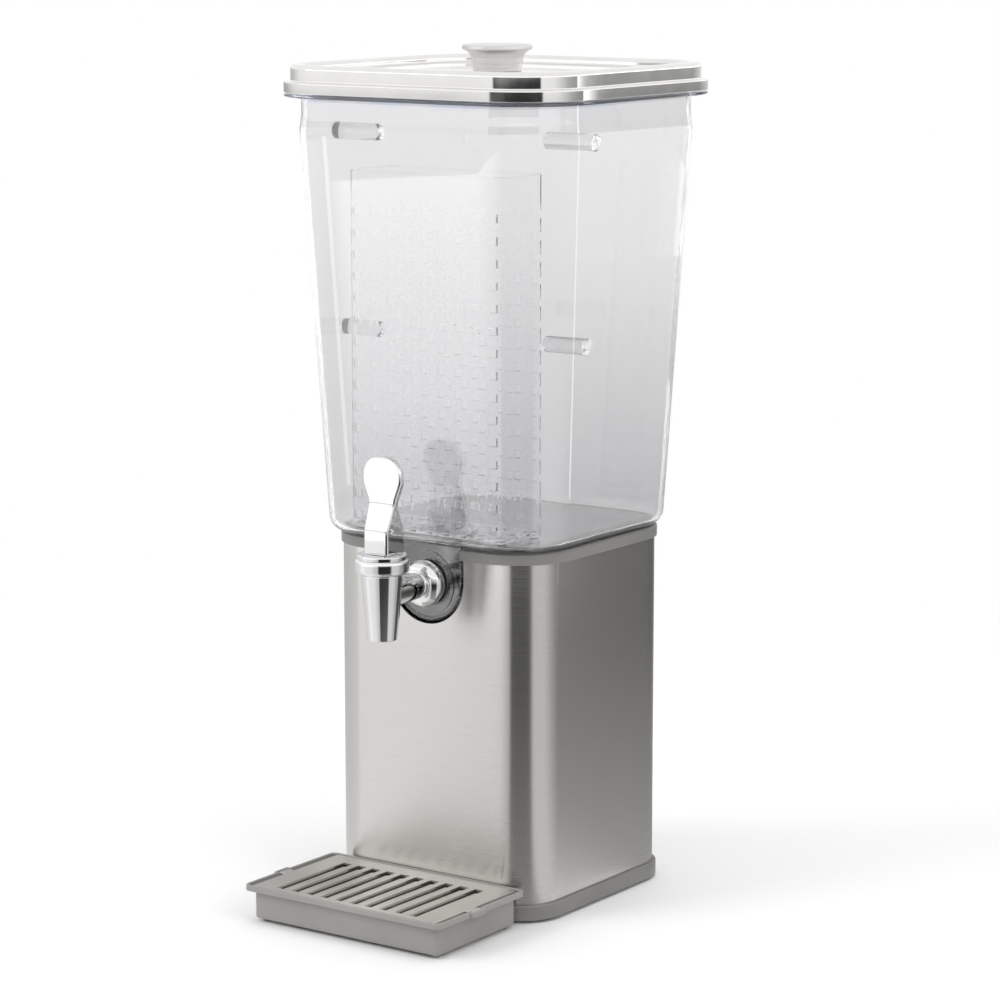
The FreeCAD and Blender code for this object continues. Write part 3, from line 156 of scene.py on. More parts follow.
def softLine(corners, steps=6, closed=False):      # corners of (across, up, round)
    line = []
    for i, (across, up, radius) in enumerate(corners):
        here = Vector((across, up))
        if radius == 0 or (not closed and i in (0, len(corners) - 1)):
            line.append((across, up))
            continue
        back = (Vector(corners[i - 1][:2]) - here).normalized()
        ahead = (Vector(corners[(i + 1) % len(corners)][:2]) - here).normalized()
        half = back.angle(ahead) / 2
        start = here + back * radius / math.tan(half)
        end = here + ahead * radius / math.tan(half)
        centre = here + (back + ahead).normalized() * radius / math.sin(half)
        first = math.atan2(start.y - centre.y, start.x - centre.x)
        last = math.atan2(end.y - centre.y, end.x - centre.x)
        sweep = (last - first + math.pi) % (2 * math.pi) - math.pi
        for step in range(steps + 1):
            angle = first + sweep * step / steps
            line.append((centre.x + radius * math.cos(angle), centre.y + radius * math.sin(angle)))
    return line


def lineAt(line, up):      # where a line of (across, up) is at one height
    for (x0, z0), (x1, z1) in zip(line, line[1:]):
        if z0 <= up <= z1 and z1 > z0:
            return x0 + (x1 - x0) * (up - z0) / (z1 - z0)
    return line[-1][0] if up > line[-1][1] else line[0][0]


def block(name, low, high, finish):
    corners = [(x, y, z) for z in (low[2], high[2]) for y in (low[1], high[1]) for x in (low[0], high[0])]
    faces = [(0, 1, 3, 2), (4, 5, 7, 6), (0, 1, 5, 4), (2, 3, 7, 6), (0, 2, 6, 4), (1, 3, 7, 5)]
    return newPiece(name, corners, faces, finish)


def camelName(label):      # knob_metal becomes knobMetal
    first, *rest = label.split("_")
    return first + "".join(word.capitalize() for word in rest)


# Small tools for node trees.
def screen(colour):      # a colour as it looks on screen, 0 to 255
    return tuple(((c / 255 + 0.055) / 1.055) ** 2.4 if c > 10 else c / 255 / 12.92
                 for c in colour) + (1.0,)


def addNode(tree, kind, **values):
    node = tree.nodes.new(kind)
    for name, value in values.items():
        node.inputs[name.replace("_", " ")].default_value = value
    return node


def newFinish(name, colour, roughness, metallic=0.0):
    finish = bpy.data.materials.new(camelName(name))
    finish.use_nodes = True
    shader = finish.node_tree.nodes["Principled BSDF"]
    shader.inputs["Base Color"].default_value = colour
    shader.inputs["Roughness"].default_value = roughness
    shader.inputs["Metallic"].default_value = metallic
    return finish, finish.node_tree, shader


def addNoise(tree, scale, stretch, detail):
    place = addNode(tree, "ShaderNodeTexCoord")
    mapping = addNode(tree, "ShaderNodeMapping", Scale=stretch)
    noise = addNode(tree, "ShaderNodeTexNoise", Scale=scale, Detail=detail)
    tree.links.new(place.outputs["Object"], mapping.inputs["Vector"])
    tree.links.new(mapping.outputs["Vector"], noise.inputs["Vector"])
    return noise.outputs["Fac"]


def spread(tree, value, low, high):      # noise mostly runs from 0.3 to 0.7
    node = addNode(tree, "ShaderNodeMapRange", From_Min=0.3, From_Max=0.7, To_Min=low, To_Max=high)
    tree.links.new(value, node.inputs["Value"])
    return node.outputs["Result"]


def blendColours(tree, shader, value, dark, light):
    mix = tree.nodes.new("ShaderNodeMix")
    mix.data_type = "RGBA"
    mix.inputs[6].default_value = screen(dark)
    mix.inputs[7].default_value = screen(light)
    tree.links.new(value, mix.inputs[0])
    tree.links.new(mix.outputs[2], shader.inputs["Base Color"])


def addBump(tree, shader, value, strength, distance):
    bump = addNode(tree, "ShaderNodeBump", Strength=strength, Distance=distance)
    tree.links.new(value, bump.inputs["Height"])
    tree.links.new(bump.outputs["Normal"], shader.inputs["Normal"])


def mathNode(tree, operation, first, second):
    node = tree.nodes.new("ShaderNodeMath")
    node.operation = operation
    for socket, value in zip(node.inputs, (first, second)):
        if isinstance(value, (int, float)):
            socket.default_value = value
        else:
            tree.links.new(value, socket)
    return node.outputs[0]


# Finishes, with what makes their grain in a dictionary above each function.
brushed = {"anisotropy": 0.8, "grainTurn": 0.25, "stretch": (0.02, 0.02, 1), "detail": 6.0,
           "cloud": (9, (1, 1, 0.5), 3.0), "smoother": 0.03, "rougher": 0.02, "cloudRun": (-0.02, 0.03),
           "bump": (0.015, 0.0001)}


def brushedSteel(name, light, dark, roughness, grain):
    finish, tree, shader = newFinish(name, screen(light), roughness, 1.0)
    shader.inputs["Anisotropic"].default_value = brushed["anisotropy"]
    tangent = tree.nodes.new("ShaderNodeTangent")
    tangent.direction_type = "RADIAL"
    tangent.axis = "Z"
    tree.links.new(tangent.outputs["Tangent"], shader.inputs["Tangent"])
    shader.inputs["Anisotropic Rotation"].default_value = brushed["grainTurn"]      # blurs upright
    lines = addNoise(tree, grain, brushed["stretch"], brushed["detail"])
    cloud = addNoise(tree, *brushed["cloud"])
    blendColours(tree, shader, spread(tree, lines, 0, 1), dark, light)
    fine = spread(tree, lines, roughness - brushed["smoother"], roughness + brushed["rougher"])
    rough = mathNode(tree, "ADD", fine, spread(tree, cloud, *brushed["cloudRun"]))
    tree.links.new(rough, shader.inputs["Roughness"])
    addBump(tree, shader, lines, *brushed["bump"])
    return finish


grained = {      # noise as (scale, stretch, detail), bump as (strength, depth)
    "moulded": {"metallic": 0.0, "grain": (1400, (1, 1, 1), 2.0), "cloud": (22, (1, 1, 1), 3.0),
                "smoother": 0.06, "rougher": 0.06, "bump": (0.18, 0.0002)},
    "rubber": {"metallic": 0.0, "grain": (2200, (1, 1, 1), 2.0), "smoother": 0.08, "rougher": 0.05,
               "bump": (0.2, 0.0002)},
    "turned": {"metallic": 1.0, "grain": (900, (0.05, 0.05, 1), 3.0), "smoother": 0.05, "rougher": 0.05,
               "bump": (0.08, 0.0001)},
}


def grainedFinish(name, kind, light, dark, roughness):      # plastic, rubber or turned metal
    surface = grained[kind]
    finish, tree, shader = newFinish(name, screen(light), roughness, surface["metallic"])
    grain = addNoise(tree, *surface["grain"])
    cloud = addNoise(tree, *surface["cloud"]) if "cloud" in surface else grain
    blendColours(tree, shader, spread(tree, cloud, 0, 1), dark, light)
    rough = spread(tree, grain, roughness - surface["smoother"], roughness + surface["rougher"])
    tree.links.new(rough, shader.inputs["Roughness"])
    addBump(tree, shader, grain, *surface["bump"])
    return finish


polished = {"smear": (35, (1, 1, 1), 5.0), "smoothest": 0.6, "roughest": 1.5}


def polishedMetal(name, light, dark, roughness):
    finish, tree, shader = newFinish(name, screen(light), roughness, 1.0)
    smear = addNoise(tree, *polished["smear"])
    blendColours(tree, shader, spread(tree, smear, 0, 1), dark, light)
    rough = spread(tree, smear, roughness * polished["smoothest"], roughness * polished["roughest"])
    tree.links.new(rough, shader.inputs["Roughness"])
    return finish


clear = {"flow": (14, (1, 1, 0.4), 2.0), "wobble": 0.004, "coatBending": 1.8, "bump": (0.02, 0.002)}


# The colour runs through the stops by height, with a small wobble, so it paints shade onto the clear walls.
def clearPlastic(name, stops, roughness, bending, coat):      # stops of (height, colour)
    finish, tree, shader = newFinish(name, stops[0][1] + (1.0,), roughness)
    shader.inputs["Transmission Weight"].default_value = 1.0
    shader.inputs["IOR"].default_value = bending
    shader.inputs["Coat Weight"].default_value = coat
    shader.inputs["Coat IOR"].default_value = clear["coatBending"]
    flow = addNoise(tree, *clear["flow"])
    place = tree.nodes.new("ShaderNodeTexCoord")
    split = tree.nodes.new("ShaderNodeSeparateXYZ")
    tree.links.new(place.outputs["Object"], split.inputs["Vector"])
    shift = spread(tree, flow, -clear["wobble"], clear["wobble"])
    wobble = mathNode(tree, "ADD", split.outputs["Z"], shift)
    low, high = stops[0][0], stops[-1][0]
    share = addNode(tree, "ShaderNodeMapRange", From_Min=low, From_Max=high)
    tree.links.new(wobble, share.inputs["Value"])
    ramp = tree.nodes.new("ShaderNodeValToRGB")
    for i, (height, colour) in enumerate(stops):
        position = (height - low) / (high - low)
        stop = ramp.color_ramp.elements[i] if i < 2 else ramp.color_ramp.elements.new(position)
        stop.position = position
        stop.color = colour + (1.0,)
    tree.links.new(share.outputs["Result"], ramp.inputs["Fac"])
    tree.links.new(ramp.outputs["Color"], shader.inputs["Base Color"])
    tree.links.new(spread(tree, flow, 0, roughness), shader.inputs["Roughness"])
    addBump(tree, shader, flow, *clear["bump"])
    return finish


looks = {      # light and dark colour, roughness, and the grain's fineness of the steels
    "brushed_shell": (brushedSteel, (214, 212, 209), (210, 208, 205), 0.24, 2500),
    "grid_steel": (brushedSteel, (222, 220, 214), (212, 210, 204), 0.34, 2200),
    "fastener_steel": (grainedFinish, "turned", (196, 195, 192), (176, 175, 172), 0.3),
    "tap_fitting": (grainedFinish, "turned", (205, 204, 202), (186, 185, 183), 0.28),
    "knob_metal": (grainedFinish, "turned", (226, 225, 224), (212, 211, 210), 0.32),
    "polished_lid": (polishedMetal, (238, 237, 235), (230, 229, 227), 0.08),
    "tap_chrome": (polishedMetal, (240, 240, 240), (234, 234, 234), 0.035),
    "grey_plastic": (grainedFinish, "moulded", (128, 127, 125), (121, 120, 118), 0.42),
    "tray_plastic": (grainedFinish, "moulded", (152, 150, 147), (145, 143, 140), 0.44),
    "foot_rubber": (grainedFinish, "rubber", (62, 62, 62), (50, 50, 50), 0.7),
    "seal_rubber": (grainedFinish, "rubber", (168, 168, 168), (156, 156, 156), 0.6),
    "cup_silicone": (grainedFinish, "rubber", (224, 223, 219), (212, 211, 207), 0.5),
    # The clear tank darkens just above its floor and clears towards the rim: painted shade graded by
    # height. The last stop turns bluish at the rim.
    "clear_container": (clearPlastic, [
        (0.19, (0.9, 0.9, 0.9)), (0.24, (0.9, 0.9, 0.9)), (0.256, (0.76, 0.76, 0.77)),
        (0.5, (0.875, 0.875, 0.88)), (0.53, (0.88, 0.88, 0.89)), (0.535, (0.72, 0.78, 0.92))],
        0.02, 1.4, 1.0),
    # The infuser is greyer low down than at its top: painted shade graded by height.
    "clear_infuser": (clearPlastic, [
        (0.25, (0.96, 0.96, 0.965)), (0.49, (0.985, 0.985, 0.987))], 0.03, 1.25, 0.0),
}
finishes = {slot: make(slot, *look) for slot, (make, *look) in looks.items()}
print("finishes made,", len(finishes))


# Plain twins: smooth copies of the nodes whose shape is already right.
def smoothTwin(node):
    mesh = nodes[node].data.copy()
    mesh.materials.clear()
    mesh.materials.append(finishes[slotOf[node]])
    piece = bpy.data.objects.new(camelName(node), mesh)
    bpy.context.scene.collection.objects.link(piece)
    build = bmesh.new()
    build.from_mesh(mesh)
    bmesh.ops.remove_doubles(build, verts=build.verts, dist=weldGap)
    bmesh.ops.dissolve_limit(
        build, angle_limit=math.radians(flatAngle), verts=build.verts, edges=build.edges)
    for face in build.faces:
        face.material_index = 0
    build.to_mesh(mesh)
    build.free()
    dress(piece, node)
    return piece


for plainNode in ("base_shell", "base_plinth", "base_collar", "base_foot_1", "base_foot_2", "base_foot_3",
                  "base_foot_4", "base_screws", "lid_seal", "lid_knob_washer", "lid_knob_screw",
                  "tap_outer_seal", "tap_inner_seal", "tap_nut", "tap_stem", "tap_pin", "tap_cup"):
    smoothTwin(plainNode)
shellLow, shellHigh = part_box("base_shell")
baseMiddle = ((shellLow.x + shellHigh.x) / 2, (shellLow.y + shellHigh.y) / 2)
print("base and small parts dressed")

through = 0.01      # how far a cutter reaches past what it cuts

# Clear tank with its sump, boss and pegs.
tank = inMetres(lowWidth=184.4, lowDepth=181.7, lowCorner=42, highWidth=211.8, highDepth=210.8,
                highCorner=46, taper=266.4, shoulder=10, step=1.25, neck=11.3, wall=3.5, edge=10,
                rimWidth=227, rimDepth=225.4, rimCorner=47, lip=2.3, flange=8.5, cover=1.7,
                softEdge=0.6, ribWall=3, ribDrop=1.8, ribInset=5, ribCorner=25)
sump = inMetres(radius=28, wall=3.5, drop=23.8, front=82, back=52.5, softEdge=1.2, boss=21.5,
                bossProud=1, bore=8.3)
peg = inMetres(radius=5.5, low=132.2, high=262.5, back=42, tip=64.2, softEdge=4.4)
tankLow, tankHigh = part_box("container")
tankMiddle = ((tankLow.x + tankHigh.x) / 2, (tankLow.y + tankHigh.y) / 2)
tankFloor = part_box("base_collar")[1].z
sumpAxis = tankFloor - sump["drop"]
tapAxis = (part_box("tap_nut")[0].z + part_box("tap_nut")[1].z) / 2


def tankRing(rise, inset):      # the tapered part at a rise over the underside
    share = rise / tank["taper"]
    width, depth, corner = (tank["low" + part] + (tank["high" + part] - tank["low" + part]) * share
                            for part in ("Width", "Depth", "Corner"))
    return insetRing(tankMiddle, width, depth, corner, inset, tankFloor + rise)


def neckRing(inset, z):
    return insetRing(tankMiddle, tank["highWidth"], tank["highDepth"], tank["highCorner"],
                     inset + tank["step"], z)


def rimRing(inset, z):
    return insetRing(tankMiddle, tank["rimWidth"], tank["rimDepth"], tank["rimCorner"], inset, z)


def ribRing(inset, z):
    width, depth = (side - 2 * tank["ribInset"] for side in (shellHigh - shellLow)[:2])
    return insetRing(baseMiddle, width, depth, tank["ribCorner"], inset, z)


def edgeRings(radius, wall, rise, steps=8):
    rings = []
    for step in range(steps + 1):
        angle = math.pi / 2 * step / steps
        rings.append(tankRing(rise + radius * (1 - math.cos(angle)), wall + radius * (1 - math.sin(angle))))
    return rings


neckLow = tankFloor + tank["taper"] + tank["shoulder"]
rimLow = neckLow + tank["neck"]
rimTop = rimLow + tank["flange"]
soft = tank["softEdge"]
rings = [ribRing(tank["ribWall"], tankFloor), ribRing(tank["ribWall"], tankFloor - tank["ribDrop"]),
         ribRing(0, tankFloor - tank["ribDrop"]), ribRing(0, tankFloor)]
rings += edgeRings(tank["edge"], 0, 0)
rings += [tankRing(tank["taper"], 0), neckRing(0, neckLow), neckRing(0, rimLow),
          rimRing(soft, rimLow), rimRing(0, rimLow + soft), rimRing(0, rimLow + tank["lip"] - soft),
          rimRing(soft, rimLow + tank["lip"]), rimRing(tank["cover"], rimLow + tank["lip"]),
          rimRing(tank["cover"], rimTop - soft), rimRing(tank["cover"] + soft, rimTop),
          neckRing(tank["wall"] - soft, rimTop), neckRing(tank["wall"], rimTop - soft),
          neckRing(tank["wall"], neckLow), tankRing(tank["taper"] - tank["wall"] / 3, tank["wall"])]
rings += reversed(edgeRings(tank["edge"] - tank["wall"], tank["wall"], tank["wall"]))
clearTankFinish = finishes["clear_container"]
clearTank = loft("clearTank", rings, clearTankFinish)


def sumpShape(name, sections, top, finish, steps=32):      # sections of (y, radius)
    angles = [-math.pi * step / steps for step in range(steps + 1)]
    return loft(name, [[(-radius, y, top), (radius, y, top)] + [
        (radius * math.cos(angle), y, sumpAxis + radius * math.sin(angle)) for angle in angles]
        for y, radius in sections], finish)


sumpFront = baseMiddle[1] - sump["front"]
sumpBack = baseMiddle[1] - sump["back"]
outside = sumpShape("sumpOutside", [
    (sumpFront, sump["radius"] - sump["softEdge"]), (sumpFront + sump["softEdge"], sump["radius"]),
    (sumpBack, sump["radius"])], tankFloor + tank["wall"] / 2, clearTankFinish)
inside = sumpShape("sumpInside", [
    (sumpFront + sump["wall"], sump["radius"] - sump["wall"]),
    (sumpBack - sump["wall"], sump["radius"] - sump["wall"])],
    tankFloor + 2 * tank["wall"], clearTankFinish)
boss = turn("boss", [(0, -sump["bossProud"]), (sump["boss"], -sump["bossProud"]),
                     (sump["boss"], sump["wall"] / 2), (0, sump["wall"] / 2)],
            clearTankFinish, (0, sumpFront, tapAxis), "Y")
sumpBore = [(0, -through), (sump["bore"], -through), (sump["bore"], through), (0, through)]
bore = turn("bore", sumpBore, clearTankFinish, (0, sumpFront, tapAxis), "Y")
combine(clearTank, outside, "UNION")
combine(clearTank, boss, "UNION")
combine(clearTank, inside, "DIFFERENCE")
combine(clearTank, bore, "DIFFERENCE")
for rise in (peg["low"], peg["high"]):
    lean = (tank["highWidth"] - tank["lowWidth"]) / 2 * rise / tank["taper"]
    start = tank["lowWidth"] / 2 + lean - tank["wall"] / 2
    for side in (-1, 1):
        line = softLine([(0, side * start, 0), (peg["radius"], side * start, 0),
                         (peg["radius"], side * peg["tip"], peg["softEdge"]), (0, side * peg["tip"], 0)])
        pegPlace = (0, baseMiddle[1] - peg["back"], tankFloor + rise)
        stub = turn("peg", line, clearTankFinish, pegPlace, "X", steps=32)
        combine(clearTank, stub, "UNION")
dress(clearTank, "container")
print("clear tank made")


# Small tools for geometry trees.
def newTree(name, inputs):
    tree = bpy.data.node_groups.new(name, "GeometryNodeTree")
    tree.interface.new_socket("Geometry", in_out="INPUT", socket_type="NodeSocketGeometry")
    for label, kind in inputs:
        tree.interface.new_socket(label, in_out="INPUT", socket_type="NodeSocket" + kind)
    tree.interface.new_socket("Geometry", in_out="OUTPUT", socket_type="NodeSocketGeometry")
    return tree, tree.nodes.new("NodeGroupInput").outputs


def runTree(piece, tree, values):
    modifier = piece.modifiers.new(tree.name, "NODES")
    modifier.node_group = tree
    for item in tree.interface.items_tree:
        if item.in_out == "INPUT" and item.name in values:
            modifier[item.identifier] = values[item.name]
    applyModifiers(piece)


def linked(tree, kind, output=0, **sources):      # a new node's output, its inputs linked to sources
    node = tree.nodes.new("GeometryNode" + kind)
    for name, source in sources.items():
        tree.links.new(source, node.inputs[name.replace("_", " ")])
    return node.outputs[output]


def joinMeshes(tree, operation, first, second):
    node = tree.nodes.new("GeometryNodeMeshBoolean")
    node.operation = operation
    node.solver = "EXACT"
    tree.links.new(first, node.inputs["Mesh 2" if operation == "UNION" else "Mesh 1"])
    tree.links.new(second, node.inputs["Mesh 2"])
    return node.outputs["Mesh"]


def copiesAt(tree, points, shape):
    copies = linked(tree, "InstanceOnPoints", Points=points, Instance=shape)
    return linked(tree, "RealizeInstances", Geometry=copies)


def endTree(tree, mesh, finish):
    whole = linked(tree, "RealizeInstances", Geometry=mesh)
    dressed = linked(tree, "SetMaterial", Geometry=whole, Material=finish)
    tree.links.new(dressed, tree.nodes.new("NodeGroupOutput").inputs["Geometry"])
    return tree


def vectorNode(tree, **sources):
    node = tree.nodes.new("ShaderNodeCombineXYZ")
    for axis, source in sources.items():
        tree.links.new(source, node.inputs[axis])
    return node.outputs["Vector"]


# Node tree that punches a field of square holes.
def holeTree():
    tree, given = newTree("holeField", [
        ("Columns", "Int"), ("Rows", "Int"), ("Across Pitch", "Float"), ("Up Pitch", "Float"),
        ("Hole", "Float"), ("Depth", "Float"), ("Place", "Vector"), ("Turn", "Vector"),
        ("Finish", "Material")])
    width, height = (mathNode(tree, "MULTIPLY", mathNode(tree, "SUBTRACT", given[count], 1), given[pitch])
                     for count, pitch in (("Columns", "Across Pitch"), ("Rows", "Up Pitch")))
    field = linked(tree, "MeshGrid", Size_X=width, Size_Y=height, Vertices_X=given["Columns"],
                   Vertices_Y=given["Rows"])
    size = vectorNode(tree, X=given["Hole"], Y=given["Hole"], Z=given["Depth"])
    punches = copiesAt(tree, field, linked(tree, "MeshCube", Size=size))
    placed = linked(tree, "Transform", Geometry=punches, Translation=given["Place"], Rotation=given["Turn"])
    return endTree(tree, joinMeshes(tree, "DIFFERENCE", given["Geometry"], placed), given["Finish"])


# Infuser box: clear, open on top, with punched front, back and floor.
infuser = inMetres(wall=3, corner=9, softEdge=0.7, hole=5.5, acrossPitch=13.5, upPitch=14.33, firstRow=8.5,
                   footRadius=3, footInset=6, footHeight=2.5, footRoot=0.2, sideCut=60, floorCut=12)
infuserHoles = {"columns": 9, "rows": 15, "floorRows": 3}
boxLow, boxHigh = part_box("infuser")
infuserFloor = boxLow.z + infuser["footHeight"]
infuserMiddle = ((boxLow.x + boxHigh.x) / 2, (boxLow.y + boxHigh.y) / 2)


def infuserRing(inset, z):
    width, depth = (boxHigh - boxLow)[:2]
    return insetRing(infuserMiddle, width, depth, infuser["corner"], inset, z, 6)


soft = infuser["softEdge"]
wall = infuser["wall"]
infuserBox = loft("infuserBox", [
    infuserRing(soft, infuserFloor), infuserRing(0, infuserFloor + soft), infuserRing(0, boxHigh.z - soft),
    infuserRing(soft, boxHigh.z), infuserRing(wall - soft, boxHigh.z), infuserRing(wall, boxHigh.z - soft),
    infuserRing(wall, infuserFloor + wall)], finishes["clear_infuser"])
holes = holeTree()
rowMiddle = infuserFloor + infuser["firstRow"] + infuser["upPitch"] * (infuserHoles["rows"] - 1) / 2
runTree(infuserBox, holes, {
    "Columns": infuserHoles["columns"], "Rows": infuserHoles["rows"],
    "Across Pitch": infuser["acrossPitch"], "Up Pitch": infuser["upPitch"], "Hole": infuser["hole"],
    "Depth": infuser["sideCut"], "Place": (infuserMiddle[0], infuserMiddle[1], rowMiddle),
    "Turn": (math.pi / 2, 0, 0), "Finish": finishes["clear_infuser"]})
runTree(infuserBox, holes, {
    "Columns": infuserHoles["columns"], "Rows": infuserHoles["floorRows"],
    "Across Pitch": infuser["acrossPitch"], "Up Pitch": infuser["acrossPitch"], "Hole": infuser["hole"],
    "Depth": infuser["floorCut"], "Place": (infuserMiddle[0], infuserMiddle[1], infuserFloor),
    "Turn": (0, 0, 0), "Finish": finishes["clear_infuser"]})
footTop = infuserFloor + infuser["footRoot"]
for signX, signY in ((-1, -1), (1, -1), (1, 1), (-1, 1)):
    centre = (signX * (boxHigh.x - infuser["footInset"]),
              infuserMiddle[1] + signY * ((boxHigh.y - boxLow.y) / 2 - infuser["footInset"]), 0)
    foot = turn("infuserFoot", [(0, boxLow.z), (infuser["footRadius"], boxLow.z),
                                (infuser["footRadius"], footTop), (0, footTop)],
                finishes["clear_infuser"], centre, steps=24)
    combine(infuserBox, foot, "UNION")
dress(infuserBox, "infuser")
print("infuser box made")

# Polished lid that wraps the tank's rim.
lid = inMetres(rimSheet=1.2, rimCap=1.6, rimRound=1, bandInset=4.5, border=9, recess=5.5, sheet=2,
               topRound=3, skirtGap=3, skirtDepth=11, skirtSheet=1.5, lip=1.5, gap=0.5, panelRound=1.5,
               capRound=0.8, bandRound=0.3, innerRound=1, screwHole=2.8)
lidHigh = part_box("lid")[1]
bandLow = rimLow + tank["lip"] + lid["gap"]
capTop = rimTop + lid["rimCap"]
panelTop = lidHigh.z - lid["recess"]
panelLow = panelTop - lid["sheet"]
inner = lid["bandInset"] + lid["border"]
outsideLine = softLine([
    (inner + through, panelTop, 0), (inner, panelTop, lid["panelRound"]),
    (inner, lidHigh.z, lid["topRound"]), (lid["bandInset"], lidHigh.z, lid["topRound"]),
    (lid["bandInset"], capTop, lid["capRound"]), (0, capTop, lid["rimRound"]),
    (0, bandLow, lid["bandRound"]), (lid["rimSheet"], bandLow, lid["bandRound"]),
    (lid["rimSheet"], rimTop, 0), (lid["bandInset"] + lid["sheet"], rimTop, 0),
    (lid["bandInset"] + lid["sheet"], lidHigh.z - lid["sheet"], lid["innerRound"]),
    (inner - lid["sheet"], lidHigh.z - lid["sheet"], lid["innerRound"]),
    (inner - lid["sheet"], rimTop, 0)])
skirt = lid["skirtGap"] + tank["wall"]
lipTop = rimTop - lid["skirtDepth"] + lid["lip"]
rings = [rimRing(inset, z) for inset, z in outsideLine]
rings += [neckRing(skirt, rimTop), neckRing(skirt, lipTop), neckRing(skirt - lid["lip"], lipTop),
          neckRing(skirt - lid["lip"], lipTop - lid["lip"]),
          neckRing(skirt + lid["skirtSheet"], lipTop - lid["lip"]),
          neckRing(skirt + lid["skirtSheet"], panelLow)]
lidCover = loft("lidCover", rings, finishes["polished_lid"])
screwHole = turn("screwHole", [(0, -through), (lid["screwHole"], -through), (lid["screwHole"], through),
                               (0, through)], finishes["polished_lid"], (*tankMiddle, panelTop), steps=32)
combine(lidCover, screwHole, "DIFFERENCE")
dress(lidCover, "lid")

# Turned knob with a flared grip.
knob = inMetres(foot=15.8, footRound=0.5, waist=18, waistRise=12.8, flare=7, grip=23, gripRise=14.2,
                gripRound=1)
knobLow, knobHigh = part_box("lid_knob")
knobLine = softLine([
    (0, knobLow.z, 0), (knob["foot"], knobLow.z, knob["footRound"]),
    (knob["waist"], knobLow.z + knob["waistRise"], knob["flare"]),
    (knob["grip"], knobLow.z + knob["gripRise"], knob["gripRound"]),
    (knob["grip"], knobHigh.z, knob["gripRound"]), (0, knobHigh.z, 0)], steps=10)
dress(turn("knob", knobLine, finishes["knob_metal"], (*tankMiddle, 0)), "lid_knob")
print("lid and knob made")

# Tap body: shank, domed flange, neck and tapered spout.
tap = inMetres(flangeBack=85, shankEnd=66, shank=8, flange=15.6, flangeEdge=3, flangeThick=9, neck=9,
               dome=7.9, domeWidth=14.3, domeDepth=5.2, spoutLow=9.7, spoutHigh=13.85, spoutRise=13.7,
               barrelNeck=13, barrelNeckRise=8, spoutBore=7, barrelBore=10, seatDrop=11.4, bore=4.5,
               boreEnd=60, forward=131, shankRound=0.8, flangeRound=0.5, tipRound=0.7, shoulderRound=0.6,
               barrelRound=0.4)
bodyLow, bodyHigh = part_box("tap_body")
chrome = finishes["tap_chrome"]
spoutPlace = (0, baseMiddle[1] - tap["forward"], 0)
spoutTop = tapAxis + tap["spoutRise"]
flangeFace = -tap["flangeBack"] - tap["flangeEdge"]
neckStart = -tap["flangeBack"] - tap["flangeThick"]
line = softLine([(0, -tap["shankEnd"], 0), (tap["shank"], -tap["shankEnd"], tap["shankRound"]),
                 (tap["shank"], -tap["flangeBack"], 0),
                 (tap["flange"], -tap["flangeBack"], tap["flangeRound"]), (tap["flange"], flangeFace, 0),
                 (tap["domeWidth"], flangeFace - tap["domeDepth"], tap["dome"]),
                 (tap["neck"], neckStart, 0), (tap["neck"], -tap["forward"], 0),
                 (0, -tap["forward"], 0)], steps=12)
tapBody = turn("tapBody", line, chrome, (0, baseMiddle[1], tapAxis), "Y")
spoutLine = softLine([
    (0, bodyLow.z, 0), (tap["spoutLow"], bodyLow.z, tap["tipRound"]),
    (tap["spoutHigh"], spoutTop, tap["shoulderRound"]), (tap["barrelNeck"], spoutTop, 0),
    (tap["barrelNeck"], spoutTop + tap["barrelNeckRise"], tap["barrelRound"]),
    (0, spoutTop + tap["barrelNeckRise"], 0)])
combine(tapBody, turn("spout", spoutLine, chrome, spoutPlace), "UNION")
seat = tapAxis - tap["seatDrop"]
boreLine = [(0, bodyLow.z - through), (tap["spoutBore"], bodyLow.z - through), (tap["spoutBore"], seat),
            (tap["barrelBore"], seat), (tap["barrelBore"], bodyHigh.z + through),
            (0, bodyHigh.z + through)]
combine(tapBody, turn("spoutBore", boreLine, chrome, spoutPlace, steps=64), "DIFFERENCE")
boreLine = [(0, -tap["forward"]), (tap["bore"], -tap["forward"]), (tap["bore"], -tap["boreEnd"]),
            (0, -tap["boreEnd"])]
shankBore = turn("shankBore", boreLine, chrome, (0, baseMiddle[1], tapAxis), "Y", steps=48)
combine(tapBody, shankBore, "DIFFERENCE")
dress(tapBody, "tap_body")

# Bonnet ring and the thin cap on it.
bonnet = inMetres(bore=3.3, roof=1.8, inside=13.06, roundness=2.8, capRound=0.9)
ringLow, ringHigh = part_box("tap_bonnet")
bonnetRadius = ringHigh.x
bonnetLine = softLine([
    (bonnet["bore"], ringHigh.z - bonnet["roof"], 0), (bonnet["inside"], ringHigh.z - bonnet["roof"], 0),
    (bonnet["inside"], ringLow.z, 0), (bonnetRadius, ringLow.z, bonnet["roundness"]),
    (bonnetRadius, ringHigh.z, bonnet["roundness"]), (bonnet["bore"], ringHigh.z, 0)], steps=8, closed=True)
dress(turn("bonnetRing", bonnetLine, chrome, spoutPlace), "tap_bonnet")
capLow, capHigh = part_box("tap_cap")
capLine = softLine([
    (bonnet["bore"], capLow.z, 0), (capHigh.x, capLow.z, 0),
    (capHigh.x, capHigh.z, bonnet["capRound"]), (bonnet["bore"], capHigh.z, 0)], closed=True)
dress(turn("bonnetCap", capLine, chrome, spoutPlace), "tap_cap")

